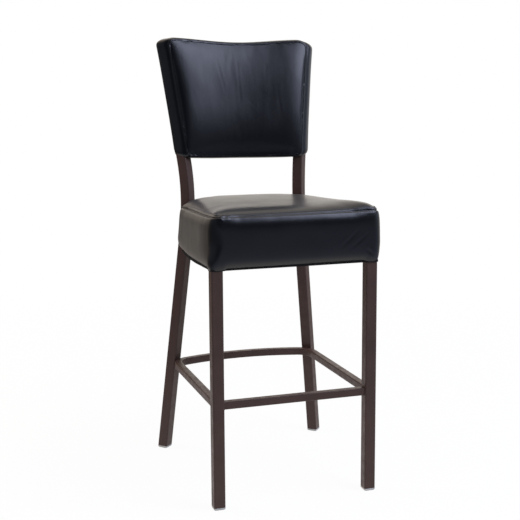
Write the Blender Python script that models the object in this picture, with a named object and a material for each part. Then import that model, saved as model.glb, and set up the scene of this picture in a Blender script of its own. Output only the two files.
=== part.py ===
"""Upholstered bar stool: a frame of square steel tube, a boxed seat and a padded back.

+X is the sitter's left as seen from the front (right in a front view), +Y runs from the front to the back,
+Z is up. While it is built, y is zero at the front face of the front legs and z is zero on the floor.
At the end the whole stool is centred over the origin. All sizes are in metres.
"""

import math

import bmesh
import bpy
from mathutils import Matrix, Vector

# General fits
GAP = 0.0003                # between pieces that touch
CUT_OVERRUN = 0.004         # how far a cutter runs past what it cuts

# Leg tube
LEG_TUBE = 0.030
LEG_WALL = 0.0015
LEG_CORNER = 0.003

# Front legs, upright
FRONT_WIDTH = 0.440         # over the outsides of both legs

# Seat levels over the front legs' front face, and how much lower they are at the seat's rear edge
SEAT_SEAM_HEIGHT = 0.7505   # seam between the seat's sides and its top
SEAT_SIDE_HEIGHT = 0.1315
SEAT_SEAM_FALL = 0.0290
SEAT_BOTTOM_FALL = 0.0195
SEAT_CROWN = 0.0275         # rise of the top over the plane of the seam

# Rear tubes: straight from the foot to a knee, then straight to the top, with one bend at the knee
KNEE_HALF_SPACING = 0.1608
KNEE_BACK = 0.4454
KNEE_BELOW_SEAM = 0.0005
LOWER_SPREAD = math.radians(-5.611)     # outward lean of the tube under the knee, going up
LOWER_LEAN = math.radians(-4.740)       # backward lean of the tube under the knee, going up
UPPER_SPREAD = math.radians(6.53)
UPPER_LEAN = math.radians(10.66)
KNEE_BEND_RADIUS = 0.600
REAR_TURN = math.radians(42)   # the section's turn about the tube's own length

# Glides under the legs
GLIDE_CAP = 0.006
GLIDE_CHAMFER = 0.0022
GLIDE_PLUG = 0.022
GLIDE_RIB = 0.0007
GLIDE_PLUG_CLEARANCE = 0.0003

# Footrest tube
REST_TUBE = 0.020
REST_WALL = 0.0015
REST_CORNER = 0.0025
REST_TOP = 0.281            # top of the front bar
REST_BAR_SETBACK = 0.004    # front bar behind the legs' front faces
HOOP_DROP = 0.0090          # how much lower the hoop is at its rearmost point than at the front legs
HOOP_CORNER_RADIUS = 0.050
HOOP_CORNER_TURN = math.radians(72)

# Seat frame
SEAT_RAIL = 0.025
SEAT_RAIL_WALL = 0.0015
SEAT_RAIL_CORNER = 0.0025
REAR_RAIL_FORWARD = 0.0055  # rear rail's middle in front of the rear tubes' middles
SIDE_RAIL_INWARD = 0.0178   # side rails' rear ends in from the rear tubes' middles

# Seat outline, at the fullest height of its sides
SEAT_FRONT_OVERHANG = 0.008
SEAT_SIDE_OVERHANG = 0.0090
SEAT_BEYOND_TUBE = 0.0345   # side corner outside the rear tube's middle
SEAT_PAST_TUBE = 0.0120     # rear edge behind the rear tubes' middles
SEAT_FRONT_CORNER = 0.024
SEAT_SIDE_CORNER = 0.032
SEAT_LEG_CLEARANCE = 0.0010
SEAT_SEAM_DRAW = 0.0065     # sides drawn in at the seam
SEAT_DRAW = 0.0040          # sides drawn in at the bottom
SEAT_CORNER_TUCK = 0.0090   # rear side corners drawn in further at the bottom
SEAT_HEM = 0.022            # cover turned under

# Cover, boards and small parts
COVER = 0.0014              # vinyl thickness
DUST_COVER = 0.0012
DUST_COVER_INSET = 0.012
SEAT_BOARD = 0.012
SEAT_BOARD_INSET = 0.0050
BRACKET = 0.003
BRACKET_SIDE = 0.056
BRACKET_NOSE = 0.012
BOLT_RADIUS = 0.003
BOLT_CLEARANCE = 0.0005
BOLT_HEAD_RADIUS = 0.0058
BOLT_HEAD = 0.004
BOLT_LENGTH = 0.0145
NUT_BARREL_RADIUS = 0.0045
NUT_BARREL = 0.009
NUT_FLANGE_RADIUS = 0.010
NUT_FLANGE = 0.0012
NUT_RECESS = 0.0018

# Back
BACK_OVER_SEAT = 0.1075     # front panel's lower edge over the seat's front seam
BACK_HEIGHT = 0.3240        # front panel's lower edge to its highest points
BACK_TOP_DIP = 0.0100       # middle of the top edge under them
BACK_TOP_SHOULDER = 0.0060  # outer ends of the top edge under them
BACK_SEAM_CORNER = 0.012
BACK_FRONT_PAD = 0.0050     # front seam in front of the tube's front corner
BACK_REAR_PAD = 0.0040
BACK_SIDE_MARGIN = 0.0036   # cover's outside beyond the tube's outer corner
BACK_EDGE_PROUD = 0.0055    # top and bottom of the boxing beyond the seams
BACK_CROWN = 0.0085         # swell of the front panel
BACK_HOLLOW = 0.0180        # hollow of the back across its width
BACK_INSIDE_MARGIN = 0.0035 # foam's rim inside the boxing
BACK_LAYER_GAP = 0.0005     # between curved layers
BACK_BOARD = 0.009
BACK_BOARD_FORWARD = 0.008  # board's front face in front of the line between the tubes
BACK_BOARD_SIDE = 0.026     # board's ends in from the tubes' middles
BACK_BOARD_END = 0.012      # board's top and bottom in from the seams
BACK_RAIL = 0.016
BACK_RAIL_WALL = 0.0015
BACK_RAIL_CORNER = 0.002
BACK_RAIL_END = 0.034       # rails' middles in from the seams
BACK_RAIL_SHORT = 0.0045    # rails' ends in from the tubes' middles
TUBE_BELOW_SEAM = 0.014     # rear tubes end inside the back
SCREW_RADIUS = 0.0020
SCREW_CLEARANCE = 0.0004
SCREW_HEAD_RADIUS = 0.0040
SCREW_HEAD = 0.0016
SCREW_BITE = 0.006          # how far a screw goes into the board
SCREW_HALF_SPACING = 0.105

# Levels that follow from the sizes above
SEAT_BOTTOM_FRONT = SEAT_SEAM_HEIGHT - SEAT_SIDE_HEIGHT
KNEE_HEIGHT = SEAT_SEAM_HEIGHT - KNEE_BELOW_SEAM
BACK_SEAM_BOTTOM = SEAT_SEAM_HEIGHT + BACK_OVER_SEAT
BACK_SEAM_TOP = BACK_SEAM_BOTTOM + BACK_HEIGHT
REAR_TUBE_TOP = BACK_SEAM_TOP - TUBE_BELOW_SEAM

# Steps of the facets
CORNER_STEPS = 2
BEND_STEPS = 9
GLIDE_PLUG_STEPS = 6
HOOP_CORNER_STEPS = 7
HOOP_REAR_STEPS = 8
ROUND_SIDES = 12
SEAT_CORNER_STEPS = 5
SEAM_CORNER_STEPS = 2
SEAM_COLUMNS = 10
SEAM_ROWS = 5
BOARD_COLUMNS = 8

# Shares of a length, a width or a height
HALF_SHARE = 0.5
CROWN_SCALE_SHARES = (0.965, 0.89, 0.77, 0.56, 0.28)
CROWN_POWER_SHARE = 4.0
CROWN_EDGE_POWER_SHARE = 8.0
SIDE_HEIGHT_SHARES = (0.0, 0.10, 0.30, 0.62, 0.88, 0.955, 1.0)
FOAM_SIDE_SHARES = (0.62, 0.88, 0.955)
DRAW_POWER_SHARE = 4.0      # how suddenly the sides draw in towards the seam and the bottom
TUCK_HEIGHT_SHARE = 0.35    # part of the sides' height in which the rear side corners are tucked in
TUCK_SIDE_SHARE = 0.30      # tuck of the side just in front of those corners
STRAIGHT_SHARES = (0.0, 0.45, 0.80)
SIDE_SHARES = (0.25, 0.50, 0.75)
SEAT_CENTRE_SHARE = 0.50
CORNER_DRAW_SHARE = 0.35
CORNER_REACH_SHARE = 0.92   # most of a straight side that a round corner may use
SEAT_HOLE_SHARE = 0.27      # bolt's place along a corner plate's sides
BACK_PEAK_SHARE = 0.84      # highest point of the top edge, from the middle to the seam
BACK_SWELL_POWER_SHARE = 3.0
FRONT_PANEL_SHARES = (0.95, 0.82, 0.60, 0.32)
REAR_PANEL_SHARES = (0.70, 0.36)
FOAM_REAR_SHARES = (0.66, 0.33)
BAND_SHARES = ((0.0, 0.0), (0.12, 0.44), (0.30, 0.82), (0.50, 1.0),
               (0.70, 0.82), (0.88, 0.44), (1.0, 0.0))

COLOURS = {
    "powder_coat": ((0.047, 0.036, 0.032), 0.42, 0.35),
    "glide_plastic": ((0.55, 0.55, 0.54), 0.55, 0.0),
    "plywood": ((0.62, 0.46, 0.28), 0.70, 0.0),
    "foam": ((0.86, 0.80, 0.62), 0.95, 0.0),
    "vinyl": ((0.012, 0.013, 0.016), 0.38, 0.0),
    "dust_cloth": ((0.010, 0.010, 0.010), 0.95, 0.0),
    "zinc_steel": ((0.62, 0.62, 0.60), 0.35, 1.0),
}

UP = Vector((0, 0, 1))
SMOOTH_ANGLE = math.radians(35)
TUBE_SMOOTH_ANGLE = math.radians(20)    # smooth along the bends, sharp between the sides


def clear_scene():
    for item in list(bpy.data.objects):
        bpy.data.objects.remove(item, do_unlink=True)


def material(name):
    found = bpy.data.materials.get(name)
    if found:
        return found
    colour, roughness, metallic = COLOURS[name]
    made = bpy.data.materials.new(name)
    made.use_nodes = True
    shader = made.node_tree.nodes["Principled BSDF"]
    shader.inputs["Base Color"].default_value = (*colour, 1)
    shader.inputs["Roughness"].default_value = roughness
    shader.inputs["Metallic"].default_value = metallic
    made.diffuse_color = (*colour, 1)
    return made


def make_object(name, bm, slot):
    bmesh.ops.recalc_face_normals(bm, faces=bm.faces)
    mesh = bpy.data.meshes.new(name)
    bm.to_mesh(mesh)
    bm.free()
    mesh.materials.append(material(slot))
    item = bpy.data.objects.new(name, mesh)
    bpy.context.collection.objects.link(item)
    return item


def skin(bm, rings, closed, split=False):
    """Quads between each ring and the next, and from the last to the first where closed.

    Quads split along their shorter diagonal keep a cover and its foam at one distance where they are twisted.
    """
    loops = [[bm.verts.new(point) for point in ring] for ring in rings]
    pairs = list(zip(loops, loops[1:]))
    if closed:
        pairs.append((loops[-1], loops[0]))
    for low, high in pairs:
        for i in range(len(low)):
            j = (i + 1) % len(low)
            corners = (low[i], low[j], high[j], high[i])
            if not split:
                bm.faces.new(corners)
                continue
            if (high[i].co - low[j].co).length < (high[j].co - low[i].co).length:
                corners = corners[1:] + corners[:1]
            bm.faces.new(corners[:3])
            bm.faces.new((corners[0], corners[2], corners[3]))
    return loops


def ring_solid(name, rings, slot, split=False):
    """A closed body whose rings run round into themselves, such as a tube with its bore."""
    bm = bmesh.new()
    skin(bm, rings, True, split)
    return make_object(name, bm, slot)


def capped_solid(name, rings, slot):
    """A closed body from rings with a flat face on the first and the last."""
    bm = bmesh.new()
    loops = skin(bm, rings, False)
    bm.faces.new(list(reversed(loops[0])))
    bm.faces.new(loops[-1])
    return make_object(name, bm, slot)


def crowned_solid(name, rings, peak, slot):
    """A closed body with a flat first ring, and its last ring drawn to a point."""
    bm = bmesh.new()
    loops = skin(bm, rings, False, True)
    bm.faces.new(list(reversed(loops[0])))
    fan(bm, loops[-1], peak)
    return make_object(name, bm, slot)


def fan(bm, loop, peak):
    tip = bm.verts.new(peak)
    for i in range(len(loop)):
        bm.faces.new((loop[i], loop[(i + 1) % len(loop)], tip))


def smooth(item, angle=SMOOTH_ANGLE):
    item.data.shade_smooth()
    item.data.set_sharp_from_angle(angle=angle)


def cut(item, cutter):
    change = item.modifiers.new("cut", "BOOLEAN")
    change.operation = "DIFFERENCE"
    change.solver = "EXACT"
    change.object = cutter


def hide_cutter(item):
    item.hide_render = True
    item.display_type = "WIRE"


def mirrored(item, name):
    """A copy of a piece on the other side of the stool."""
    mesh = item.data.copy()
    mesh.transform(Matrix.Scale(-1, 4, (1, 0, 0)))
    mesh.flip_normals()
    copy = bpy.data.objects.new(name, mesh)
    bpy.context.collection.objects.link(copy)
    for change in item.modifiers:
        cut(copy, change.object)
    return copy


def section(width, corner):
    """Outline of a square with round corners, as offsets from its middle."""
    points = []
    inner = width * HALF_SHARE - corner
    for quarter in range(4):
        turn = quarter * math.pi / 2
        middle = Matrix.Rotation(turn, 2) @ Vector((inner, inner))
        for step in range(CORNER_STEPS + 1):
            angle = turn + step / CORNER_STEPS * math.pi / 2
            points.append((middle.x + corner * math.cos(angle), middle.y + corner * math.sin(angle)))
    return points


def placed(outline, centre, across, up):
    return [centre + across * a + up * b for a, b in outline]


def frames_along(path, first_up):
    """Centre, sideways and upward directions at each point, carried along without twist."""
    frames = []
    up = first_up
    for i, point in enumerate(path):
        before = path[max(i - 1, 0)]
        after = path[min(i + 1, len(path) - 1)]
        ahead = (after - before).normalized()
        up = (up - ahead * up.dot(ahead)).normalized()
        frames.append((point, up.cross(ahead).normalized(), up))
    return frames


def tube(name, path, first_up, width, wall, corner, slot="powder_coat"):
    """Square tube with open ends along a path."""
    outer = section(width, corner)
    inner = section(width - 2 * wall, corner - wall)
    frames = frames_along(path, first_up)
    rings = [placed(outer, *frame) for frame in frames]
    rings += [placed(inner, *frame) for frame in reversed(frames)]
    made = ring_solid(name, rings, slot)
    smooth(made, TUBE_SMOOTH_ANGLE)
    return made


def solid_bar(name, path, first_up, width, corner):
    """A filled bar with the outside of a tube, used as a cutter."""
    frames = frames_along(path, first_up)
    return capped_solid(name, [placed(section(width, corner), *frame) for frame in frames], "powder_coat")


class Rear:
    """The right rear tube's line, its directions and its horizontal slices."""

    knee = Vector((KNEE_HALF_SPACING, KNEE_BACK, KNEE_HEIGHT))
    lower = Vector((math.tan(LOWER_SPREAD), math.tan(LOWER_LEAN), 1)).normalized()
    upper = Vector((math.tan(UPPER_SPREAD), math.tan(UPPER_LEAN), 1)).normalized()
    foot = knee - lower * (KNEE_HEIGHT / lower.z)
    top = knee + upper * ((REAR_TUBE_TOP - KNEE_HEIGHT) / upper.z)
    turn_axis = Vector((math.sin(REAR_TURN), math.cos(REAR_TURN), 0))

    @classmethod
    def bend_points(cls):
        half = cls.lower.angle(cls.upper) / 2
        reach = KNEE_BEND_RADIUS * math.tan(half)
        start = cls.knee - cls.lower * reach
        across = cls.lower.cross(cls.upper).normalized()
        inward = across.cross(cls.lower).normalized()
        centre = start + inward * KNEE_BEND_RADIUS
        points = []
        for step in range(BEND_STEPS + 1):
            spin = Matrix.Rotation(2 * half * step / BEND_STEPS, 3, across)
            points.append(centre + spin @ (start - centre))
        return points

    @classmethod
    def path(cls, low, high):
        """Points of the tube's centre line from one height to another."""
        points = [cls.foot + cls.lower * ((low - cls.foot.z) / cls.lower.z)]
        points += [point for point in cls.bend_points() if low < point.z < high]
        points.append(cls.top + cls.upper * ((high - cls.top.z) / cls.upper.z))
        return points

    @classmethod
    def at(cls, height):
        """Centre of the tube at a height."""
        points = cls.path(-GLIDE_CAP, REAR_TUBE_TOP + LEG_TUBE)
        for low, high in zip(points, points[1:]):
            if height <= high.z:
                return low.lerp(high, (height - low.z) / (high.z - low.z))
        return points[-1]

    @classmethod
    def first_up(cls, along):
        flat = cls.turn_axis
        return (flat - along * flat.dot(along)).normalized()


def foot_slice(centre, along, up, outline, height):
    """A section slid along its own tube onto a level plane."""
    across = up.cross(along).normalized()
    points = []
    for a, b in outline:
        point = centre + across * a + up * b
        points.append(point + along * ((height - point.z) / along.z))
    return points


def leg_tube(name, path, first_up):
    """A leg: its lower end is level with the floor and its upper end is square."""
    outer = section(LEG_TUBE, LEG_CORNER)
    inner = section(LEG_TUBE - 2 * LEG_WALL, LEG_CORNER - LEG_WALL)
    frames = frames_along(path, first_up)
    along = (path[1] - path[0]).normalized()
    base = (path[0], along, frames[0][2])
    outer_rings = [foot_slice(*base, outer, path[0].z)]
    outer_rings += [placed(outer, *frame) for frame in frames[1:]]
    inner_rings = [foot_slice(*base, inner, path[0].z)]
    inner_rings += [placed(inner, *frame) for frame in frames[1:]]
    made = ring_solid(name, outer_rings + inner_rings[::-1], "powder_coat")
    smooth(made, TUBE_SMOOTH_ANGLE)
    return made


def glide(name, foot, along, first_up):
    """Cap under a leg, and a ribbed plug inside its end."""
    bore = LEG_TUBE - 2 * (LEG_WALL + GLIDE_PLUG_CLEARANCE)
    valley = bore - 2 * GLIDE_RIB
    inner_corner = LEG_CORNER - LEG_WALL
    rib_step = GLIDE_PLUG / GLIDE_PLUG_STEPS
    profile = [
        (0, LEG_TUBE - 2 * GLIDE_CHAMFER, LEG_CORNER),
        (GLIDE_CHAMFER, LEG_TUBE, LEG_CORNER),
        (GLIDE_CAP, LEG_TUBE, LEG_CORNER),
        (GLIDE_CAP, valley, inner_corner),
    ]
    for rib in range(2):
        base = GLIDE_CAP + rib_step * (1 + 2 * rib)
        profile += [(base, valley, inner_corner), (base, bore, inner_corner)]
        profile += [(base + rib_step, bore, inner_corner), (base + rib_step, valley, inner_corner)]
    profile.append((GLIDE_CAP + GLIDE_PLUG, valley, inner_corner))
    rings = []
    for height, width, corner in profile:
        centre = foot + along * (height / along.z)
        rings.append(foot_slice(centre, along, first_up, section(width, corner), height))
    return capped_solid(name, rings, "glide_plastic")


def front_leg_middle():
    return Vector((FRONT_WIDTH * HALF_SHARE - LEG_TUBE * HALF_SHARE, LEG_TUBE * HALF_SHARE, 0))


def seat_rear():
    """Depth of the seat's rear edge."""
    return Rear.at(SEAT_BOTTOM_FRONT).y + SEAT_PAST_TUBE


def seat_bottom(y):
    return SEAT_BOTTOM_FRONT - SEAT_BOTTOM_FALL * y / seat_rear()


def seat_seam(y):
    return SEAT_SEAM_HEIGHT - SEAT_SEAM_FALL * y / seat_rear()


def rail_bottom(y):
    return seat_bottom(y) + COVER + 2 * GAP


def rail_top(y):
    return rail_bottom(y) + SEAT_RAIL


def board_bottom(y):
    return rail_top(y) + GAP


def board_top(y):
    return board_bottom(y) + SEAT_BOARD


def seat_tilt():
    return math.atan2(-SEAT_BOTTOM_FALL, seat_rear())


def seat_normal():
    return Vector((0, -math.sin(seat_tilt()), math.cos(seat_tilt())))


def make_legs():
    """The four legs with their glides, and the cutter that clears the legs out of other pieces."""
    middle = front_leg_middle()
    top = rail_top(LEG_TUBE)
    path = [middle + UP * (GLIDE_CAP + GAP), middle + UP * top]
    front = leg_tube("front_leg_right", path, Vector((0, 1, 0)))
    mirrored(front, "front_leg_left")
    rear_path = Rear.path(GLIDE_CAP + GAP, REAR_TUBE_TOP)
    up = Rear.first_up(Rear.lower)
    rear = leg_tube("rear_leg_right", rear_path, up)
    mirrored(rear, "rear_leg_left")
    front_glide = glide("glide_front_right", middle, UP, Vector((0, 1, 0)))
    mirrored(front_glide, "glide_front_left")
    rear_glide = glide("glide_rear_right", Rear.foot, Rear.lower, up)
    mirrored(rear_glide, "glide_rear_left")
    return leg_cutters(middle, top, up)


def leg_cutters(middle, top, up):
    """The four legs filled and a gap larger on every side, the front ones longer too."""
    width = LEG_TUBE + 2 * GAP
    corner = LEG_CORNER + GAP
    ends = [middle, middle + UP * (top + CUT_OVERRUN)]
    front = solid_bar("cutter_front_right", ends, Vector((0, 1, 0)), width, corner)
    rear = solid_bar("cutter_rear_right", Rear.path(0, REAR_TUBE_TOP + GAP), up, width, corner)
    pieces = [front, rear, mirrored(front, "cutter_front_left"), mirrored(rear, "cutter_rear_left")]
    bm = bmesh.new()
    for piece in pieces:
        bm.from_mesh(piece.data)
        bpy.data.objects.remove(piece)
    cutter = make_object("cutter_legs", bm, "powder_coat")
    hide_cutter(cutter)
    return cutter


def make_footrest(cutter):
    leg = front_leg_middle()
    bar_y = REST_BAR_SETBACK + REST_TUBE * HALF_SHARE
    bar_z = REST_TOP - REST_TUBE * HALF_SHARE
    ends = [Vector((-leg.x, bar_y, bar_z)), Vector((leg.x, bar_y, bar_z))]
    bar = tube("footrest_front_bar", ends, UP, REST_TUBE, REST_WALL, REST_CORNER)
    cut(bar, cutter)
    hoop_path, normal = hoop_line(leg)
    hoop = tube("footrest_hoop", hoop_path, normal, REST_TUBE, REST_WALL, REST_CORNER)
    cut(hoop, cutter)


def hoop_line(leg):
    """Centre line of the hoop, in a plane that falls towards the back.

    Its corner is tangent to the inner front face of the rear tube, a gap away, at the hoop's top edge.
    """
    half = REST_TUBE * HALF_SHARE
    contact_height = REST_TOP - HOOP_DROP
    centre = Rear.at(contact_height)
    outward = Vector((math.sin(REAR_TURN), math.cos(REAR_TURN), 0))
    outline = section(LEG_TUBE, LEG_CORNER)
    ring = foot_slice(centre, Rear.lower, Rear.first_up(Rear.lower), outline, centre.z)
    reach = max((centre - point).dot(outward) for point in ring)
    face = centre.dot(outward) - reach
    corner_x = leg.x - HOOP_CORNER_RADIUS
    corner_y = (face - HOOP_CORNER_RADIUS - half - GAP - corner_x * outward.x) / outward.y
    points = [(leg.x, leg.y), (leg.x, corner_y)]
    for step in range(1, HOOP_CORNER_STEPS + 1):
        angle = HOOP_CORNER_TURN * step / HOOP_CORNER_STEPS
        points.append((corner_x + HOOP_CORNER_RADIUS * math.cos(angle),
                       corner_y + HOOP_CORNER_RADIUS * math.sin(angle)))
    end_x, end_y = points[-1]
    rear_radius = end_x / math.cos(HOOP_CORNER_TURN)
    rear_centre_y = end_y - rear_radius * math.sin(HOOP_CORNER_TURN)
    sweep = math.pi / 2 - HOOP_CORNER_TURN
    for step in range(1, HOOP_REAR_STEPS // 2 + 1):
        angle = HOOP_CORNER_TURN + sweep * step / (HOOP_REAR_STEPS // 2)
        points.append((rear_radius * math.cos(angle), rear_centre_y + rear_radius * math.sin(angle)))
    points[-1] = (0, rear_centre_y + rear_radius)
    points += [(-x, y) for x, y in reversed(points[:-1])]
    rearmost = rear_centre_y + rear_radius
    slope = HOOP_DROP / (rearmost - leg.y)
    normal = Vector((0, slope, 1)).normalized()
    return [Vector((x, y, REST_TOP - half - slope * (y - leg.y))) for x, y in points], normal


def make_seat_frame(cutter):
    """Four rails, and the cutters that clear the frame out of the boxing."""
    front_leg = front_leg_middle()
    rear_y = rear_rail_middle().y
    ends = [on_frame(-front_leg.x, front_leg.y), on_frame(front_leg.x, front_leg.y)]
    seat_rail("seat_rail_front", ends, [cutter])
    ends = [on_frame(-rear_rail_middle().x, rear_y), on_frame(rear_rail_middle().x, rear_y)]
    seat_rail("seat_rail_rear", ends, [cutter])
    rear_cutter = solid_bar("cutter_rear_rail", ends, seat_normal(),
                            SEAT_RAIL + 2 * GAP, SEAT_RAIL_CORNER + GAP)
    ends = [on_frame(*end) for end in side_rail_ends()]
    mirrored(seat_rail("seat_rail_right", ends, [cutter, rear_cutter]), "seat_rail_left")
    hide_cutter(rear_cutter)
    return [cutter, notch_cutter()]


def notch_cutter():
    """Blocks that open the boxing's wall beside the rear tubes, where the rails run through it."""
    rear = rear_rail_middle()
    back = rear.y + SEAT_RAIL * (HALF_SHARE + seat_normal().y) + GAP
    bm = bmesh.new()
    for side in (1, -1):
        rings = []
        for level in (lambda y: rail_bottom(y) - GAP, lambda y: rail_top(y) + GAP):
            tube_middle = Rear.at(level(rear.y))
            outer = side * (tube_middle.x - COVER)
            inner = side * (tube_middle.x - LEG_TUBE)
            front = tube_middle.y - LEG_TUBE
            plan = [(outer, front), (outer, back), (inner, back), (inner, front)]
            rings.append([(x, y, level(y)) for x, y in plan])
        low, high = skin(bm, rings, False)
        bm.faces.new(low)
        bm.faces.new(high)
    item = make_object("cutter_notch", bm, "powder_coat")
    hide_cutter(item)
    return item


def seat_rail(name, ends, cutters):
    made = tube(name, ends, seat_normal(), SEAT_RAIL, SEAT_RAIL_WALL, SEAT_RAIL_CORNER)
    for cutter in cutters:
        cut(made, cutter)
    return made


def on_frame(x, y):
    """Middle of a seat rail over a place on the floor."""
    return Vector((x, y, rail_bottom(y))) + seat_normal() * (SEAT_RAIL * HALF_SHARE)


def rear_rail_middle():
    """Where the rear rail's middle line ends in the right rear tube."""
    tube_middle = Rear.at(rail_bottom(seat_rear()) + SEAT_RAIL * HALF_SHARE)
    return Vector((tube_middle.x, tube_middle.y - REAR_RAIL_FORWARD))


def side_rail_ends():
    front_leg = front_leg_middle()
    rear = rear_rail_middle()
    return (front_leg.x, front_leg.y), (rear.x - SIDE_RAIL_INWARD, rear.y)


def rail_inner_x(y):
    """Inner face of the right side rail at a depth."""
    (front_x, front_y), (rear_x, rear_y) = side_rail_ends()
    slope = (front_x - rear_x) / (rear_y - front_y)
    return front_x - slope * (y - front_y) - SEAT_RAIL * HALF_SHARE * math.hypot(1, slope)


def bracket_outline(corner_y, inward):
    """Plan of a corner plate; inward is 1 behind the front rail and -1 in front of the rear one."""
    def beside(y):
        return rail_inner_x(y) - GAP

    low = corner_y + GAP * inward
    far = low + BRACKET_SIDE * inward
    nose = low + BRACKET_NOSE * inward
    points = [(beside(low), low), (beside(far), far), (beside(far) - BRACKET_NOSE, far)]
    points += [(beside(low) - BRACKET_SIDE, nose), (beside(low) - BRACKET_SIDE, low)]
    return points


def slab(name, outline, low, high, slot):
    """A flat piece between two levels that may slope with depth."""
    rings = [[(x, y, low(y)) for x, y in outline], [(x, y, high(y)) for x, y in outline]]
    return capped_solid(name, rings, slot)


def cylinder_rings(profile):
    """Rings about +Z for pairs of height and radius."""
    rings = []
    for height, radius in profile:
        angles = [2 * math.pi * i / ROUND_SIDES for i in range(ROUND_SIDES)]
        rings.append([Vector((radius * math.cos(a), radius * math.sin(a), height)) for a in angles])
    return rings


def along_axis(rings, place, axis):
    spin = UP.rotation_difference(axis).to_matrix()
    return [[place + spin @ point for point in ring] for ring in rings]


def turned(name, profile, place, axis, slot, bored=False):
    """A turned piece from pairs of height and radius, standing on a place along an axis."""
    rings = along_axis(cylinder_rings(profile), place, axis)
    smooth(ring_solid(name, rings, slot) if bored else capped_solid(name, rings, slot))


def bores(name, profile, places):
    """One cutter that holds a turned shape at each of several places and axes."""
    bm = bmesh.new()
    for place, axis in places:
        loops = skin(bm, along_axis(cylinder_rings(profile), place, axis), False)
        bm.faces.new(list(reversed(loops[0])))
        bm.faces.new(loops[-1])
    item = make_object(name, bm, "powder_coat")
    hide_cutter(item)
    return item


def make_seat_fixings(cutter):
    """Corner plates, bolts through them, and the tee nuts in the seat board."""
    normal = seat_normal()
    front_face = front_leg_middle().y + SEAT_RAIL * (HALF_SHARE + normal.y)
    rear_face = rear_rail_middle().y - SEAT_RAIL * HALF_SHARE + (SEAT_RAIL - BRACKET) * normal.y
    places = {}
    plates = []
    for end, corner_y, inward in (("front", front_face, 1), ("rear", rear_face, -1)):
        outline = bracket_outline(corner_y, inward)
        plates.append(slab("seat_bracket_" + end + "_right", outline,
                           lambda y: rail_top(y) - BRACKET, rail_top, "powder_coat"))
        hole_y = corner_y + inward * BRACKET_SIDE * SEAT_HOLE_SHARE
        hole_x = rail_inner_x(hole_y) - BRACKET_SIDE * SEAT_HOLE_SHARE
        places[end + "_right"] = (Vector((hole_x, hole_y, rail_top(hole_y))), normal)
        places[end + "_left"] = (Vector((-hole_x, hole_y, rail_top(hole_y))), normal)
    hole_radius = BOLT_RADIUS + BOLT_CLEARANCE
    hole = bores("cutter_bracket_holes",
                 [(-BRACKET - CUT_OVERRUN, hole_radius), (CUT_OVERRUN, hole_radius)], places.values())
    for plate in plates:
        cut(plate, hole)
        cut(plate, cutter)
        mirrored(plate, plate.name.replace("right", "left"))
    under = -BRACKET - GAP
    shank_end = under + BOLT_LENGTH
    bolt = [(under - BOLT_HEAD, BOLT_HEAD_RADIUS), (under, BOLT_HEAD_RADIUS),
            (under, BOLT_RADIUS), (shank_end, BOLT_RADIUS)]
    board_face = GAP + SEAT_BOARD
    flange_top = board_face - NUT_RECESS + GAP + NUT_FLANGE
    flange_low = flange_top - NUT_FLANGE
    bore = BOLT_RADIUS + GAP
    nut = [(flange_low - NUT_BARREL, bore), (flange_low - NUT_BARREL, NUT_BARREL_RADIUS),
           (flange_low, NUT_BARREL_RADIUS), (flange_low, NUT_FLANGE_RADIUS),
           (flange_top, NUT_FLANGE_RADIUS), (flange_top, bore)]
    for corner, (place, axis) in places.items():
        turned("seat_bolt_" + corner, bolt, place, axis, "zinc_steel")
        turned("seat_tee_nut_" + corner, nut, place, axis, "zinc_steel", True)
    barrel_room = NUT_BARREL_RADIUS + GAP
    flange_room = NUT_FLANGE_RADIUS + GAP
    shoulder = board_face - NUT_RECESS
    pocket = [(-CUT_OVERRUN, barrel_room), (shoulder, barrel_room),
              (shoulder, flange_room), (board_face + CUT_OVERRUN, flange_room)]
    return bores("cutter_board_pockets", pocket, places.values())


def arc_points(before, corner, after, radius):
    """Points of a round corner between two straight sides."""
    a = (before - corner).normalized()
    b = (after - corner).normalized()
    half = a.angle(b) / 2
    room = min((before - corner).length, (after - corner).length) * CORNER_REACH_SHARE
    reach = min(radius / math.tan(half), room)
    radius = reach * math.tan(half)
    centre = corner + (a + b).normalized() * (radius / math.sin(half))
    start = corner + a * reach - centre
    end = corner + b * reach - centre
    turn = math.atan2(start.x * end.y - start.y * end.x, start.dot(end))
    steps = range(SEAT_CORNER_STEPS + 1)
    return [centre + Matrix.Rotation(turn * step / SEAT_CORNER_STEPS, 2) @ start for step in steps]


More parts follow.
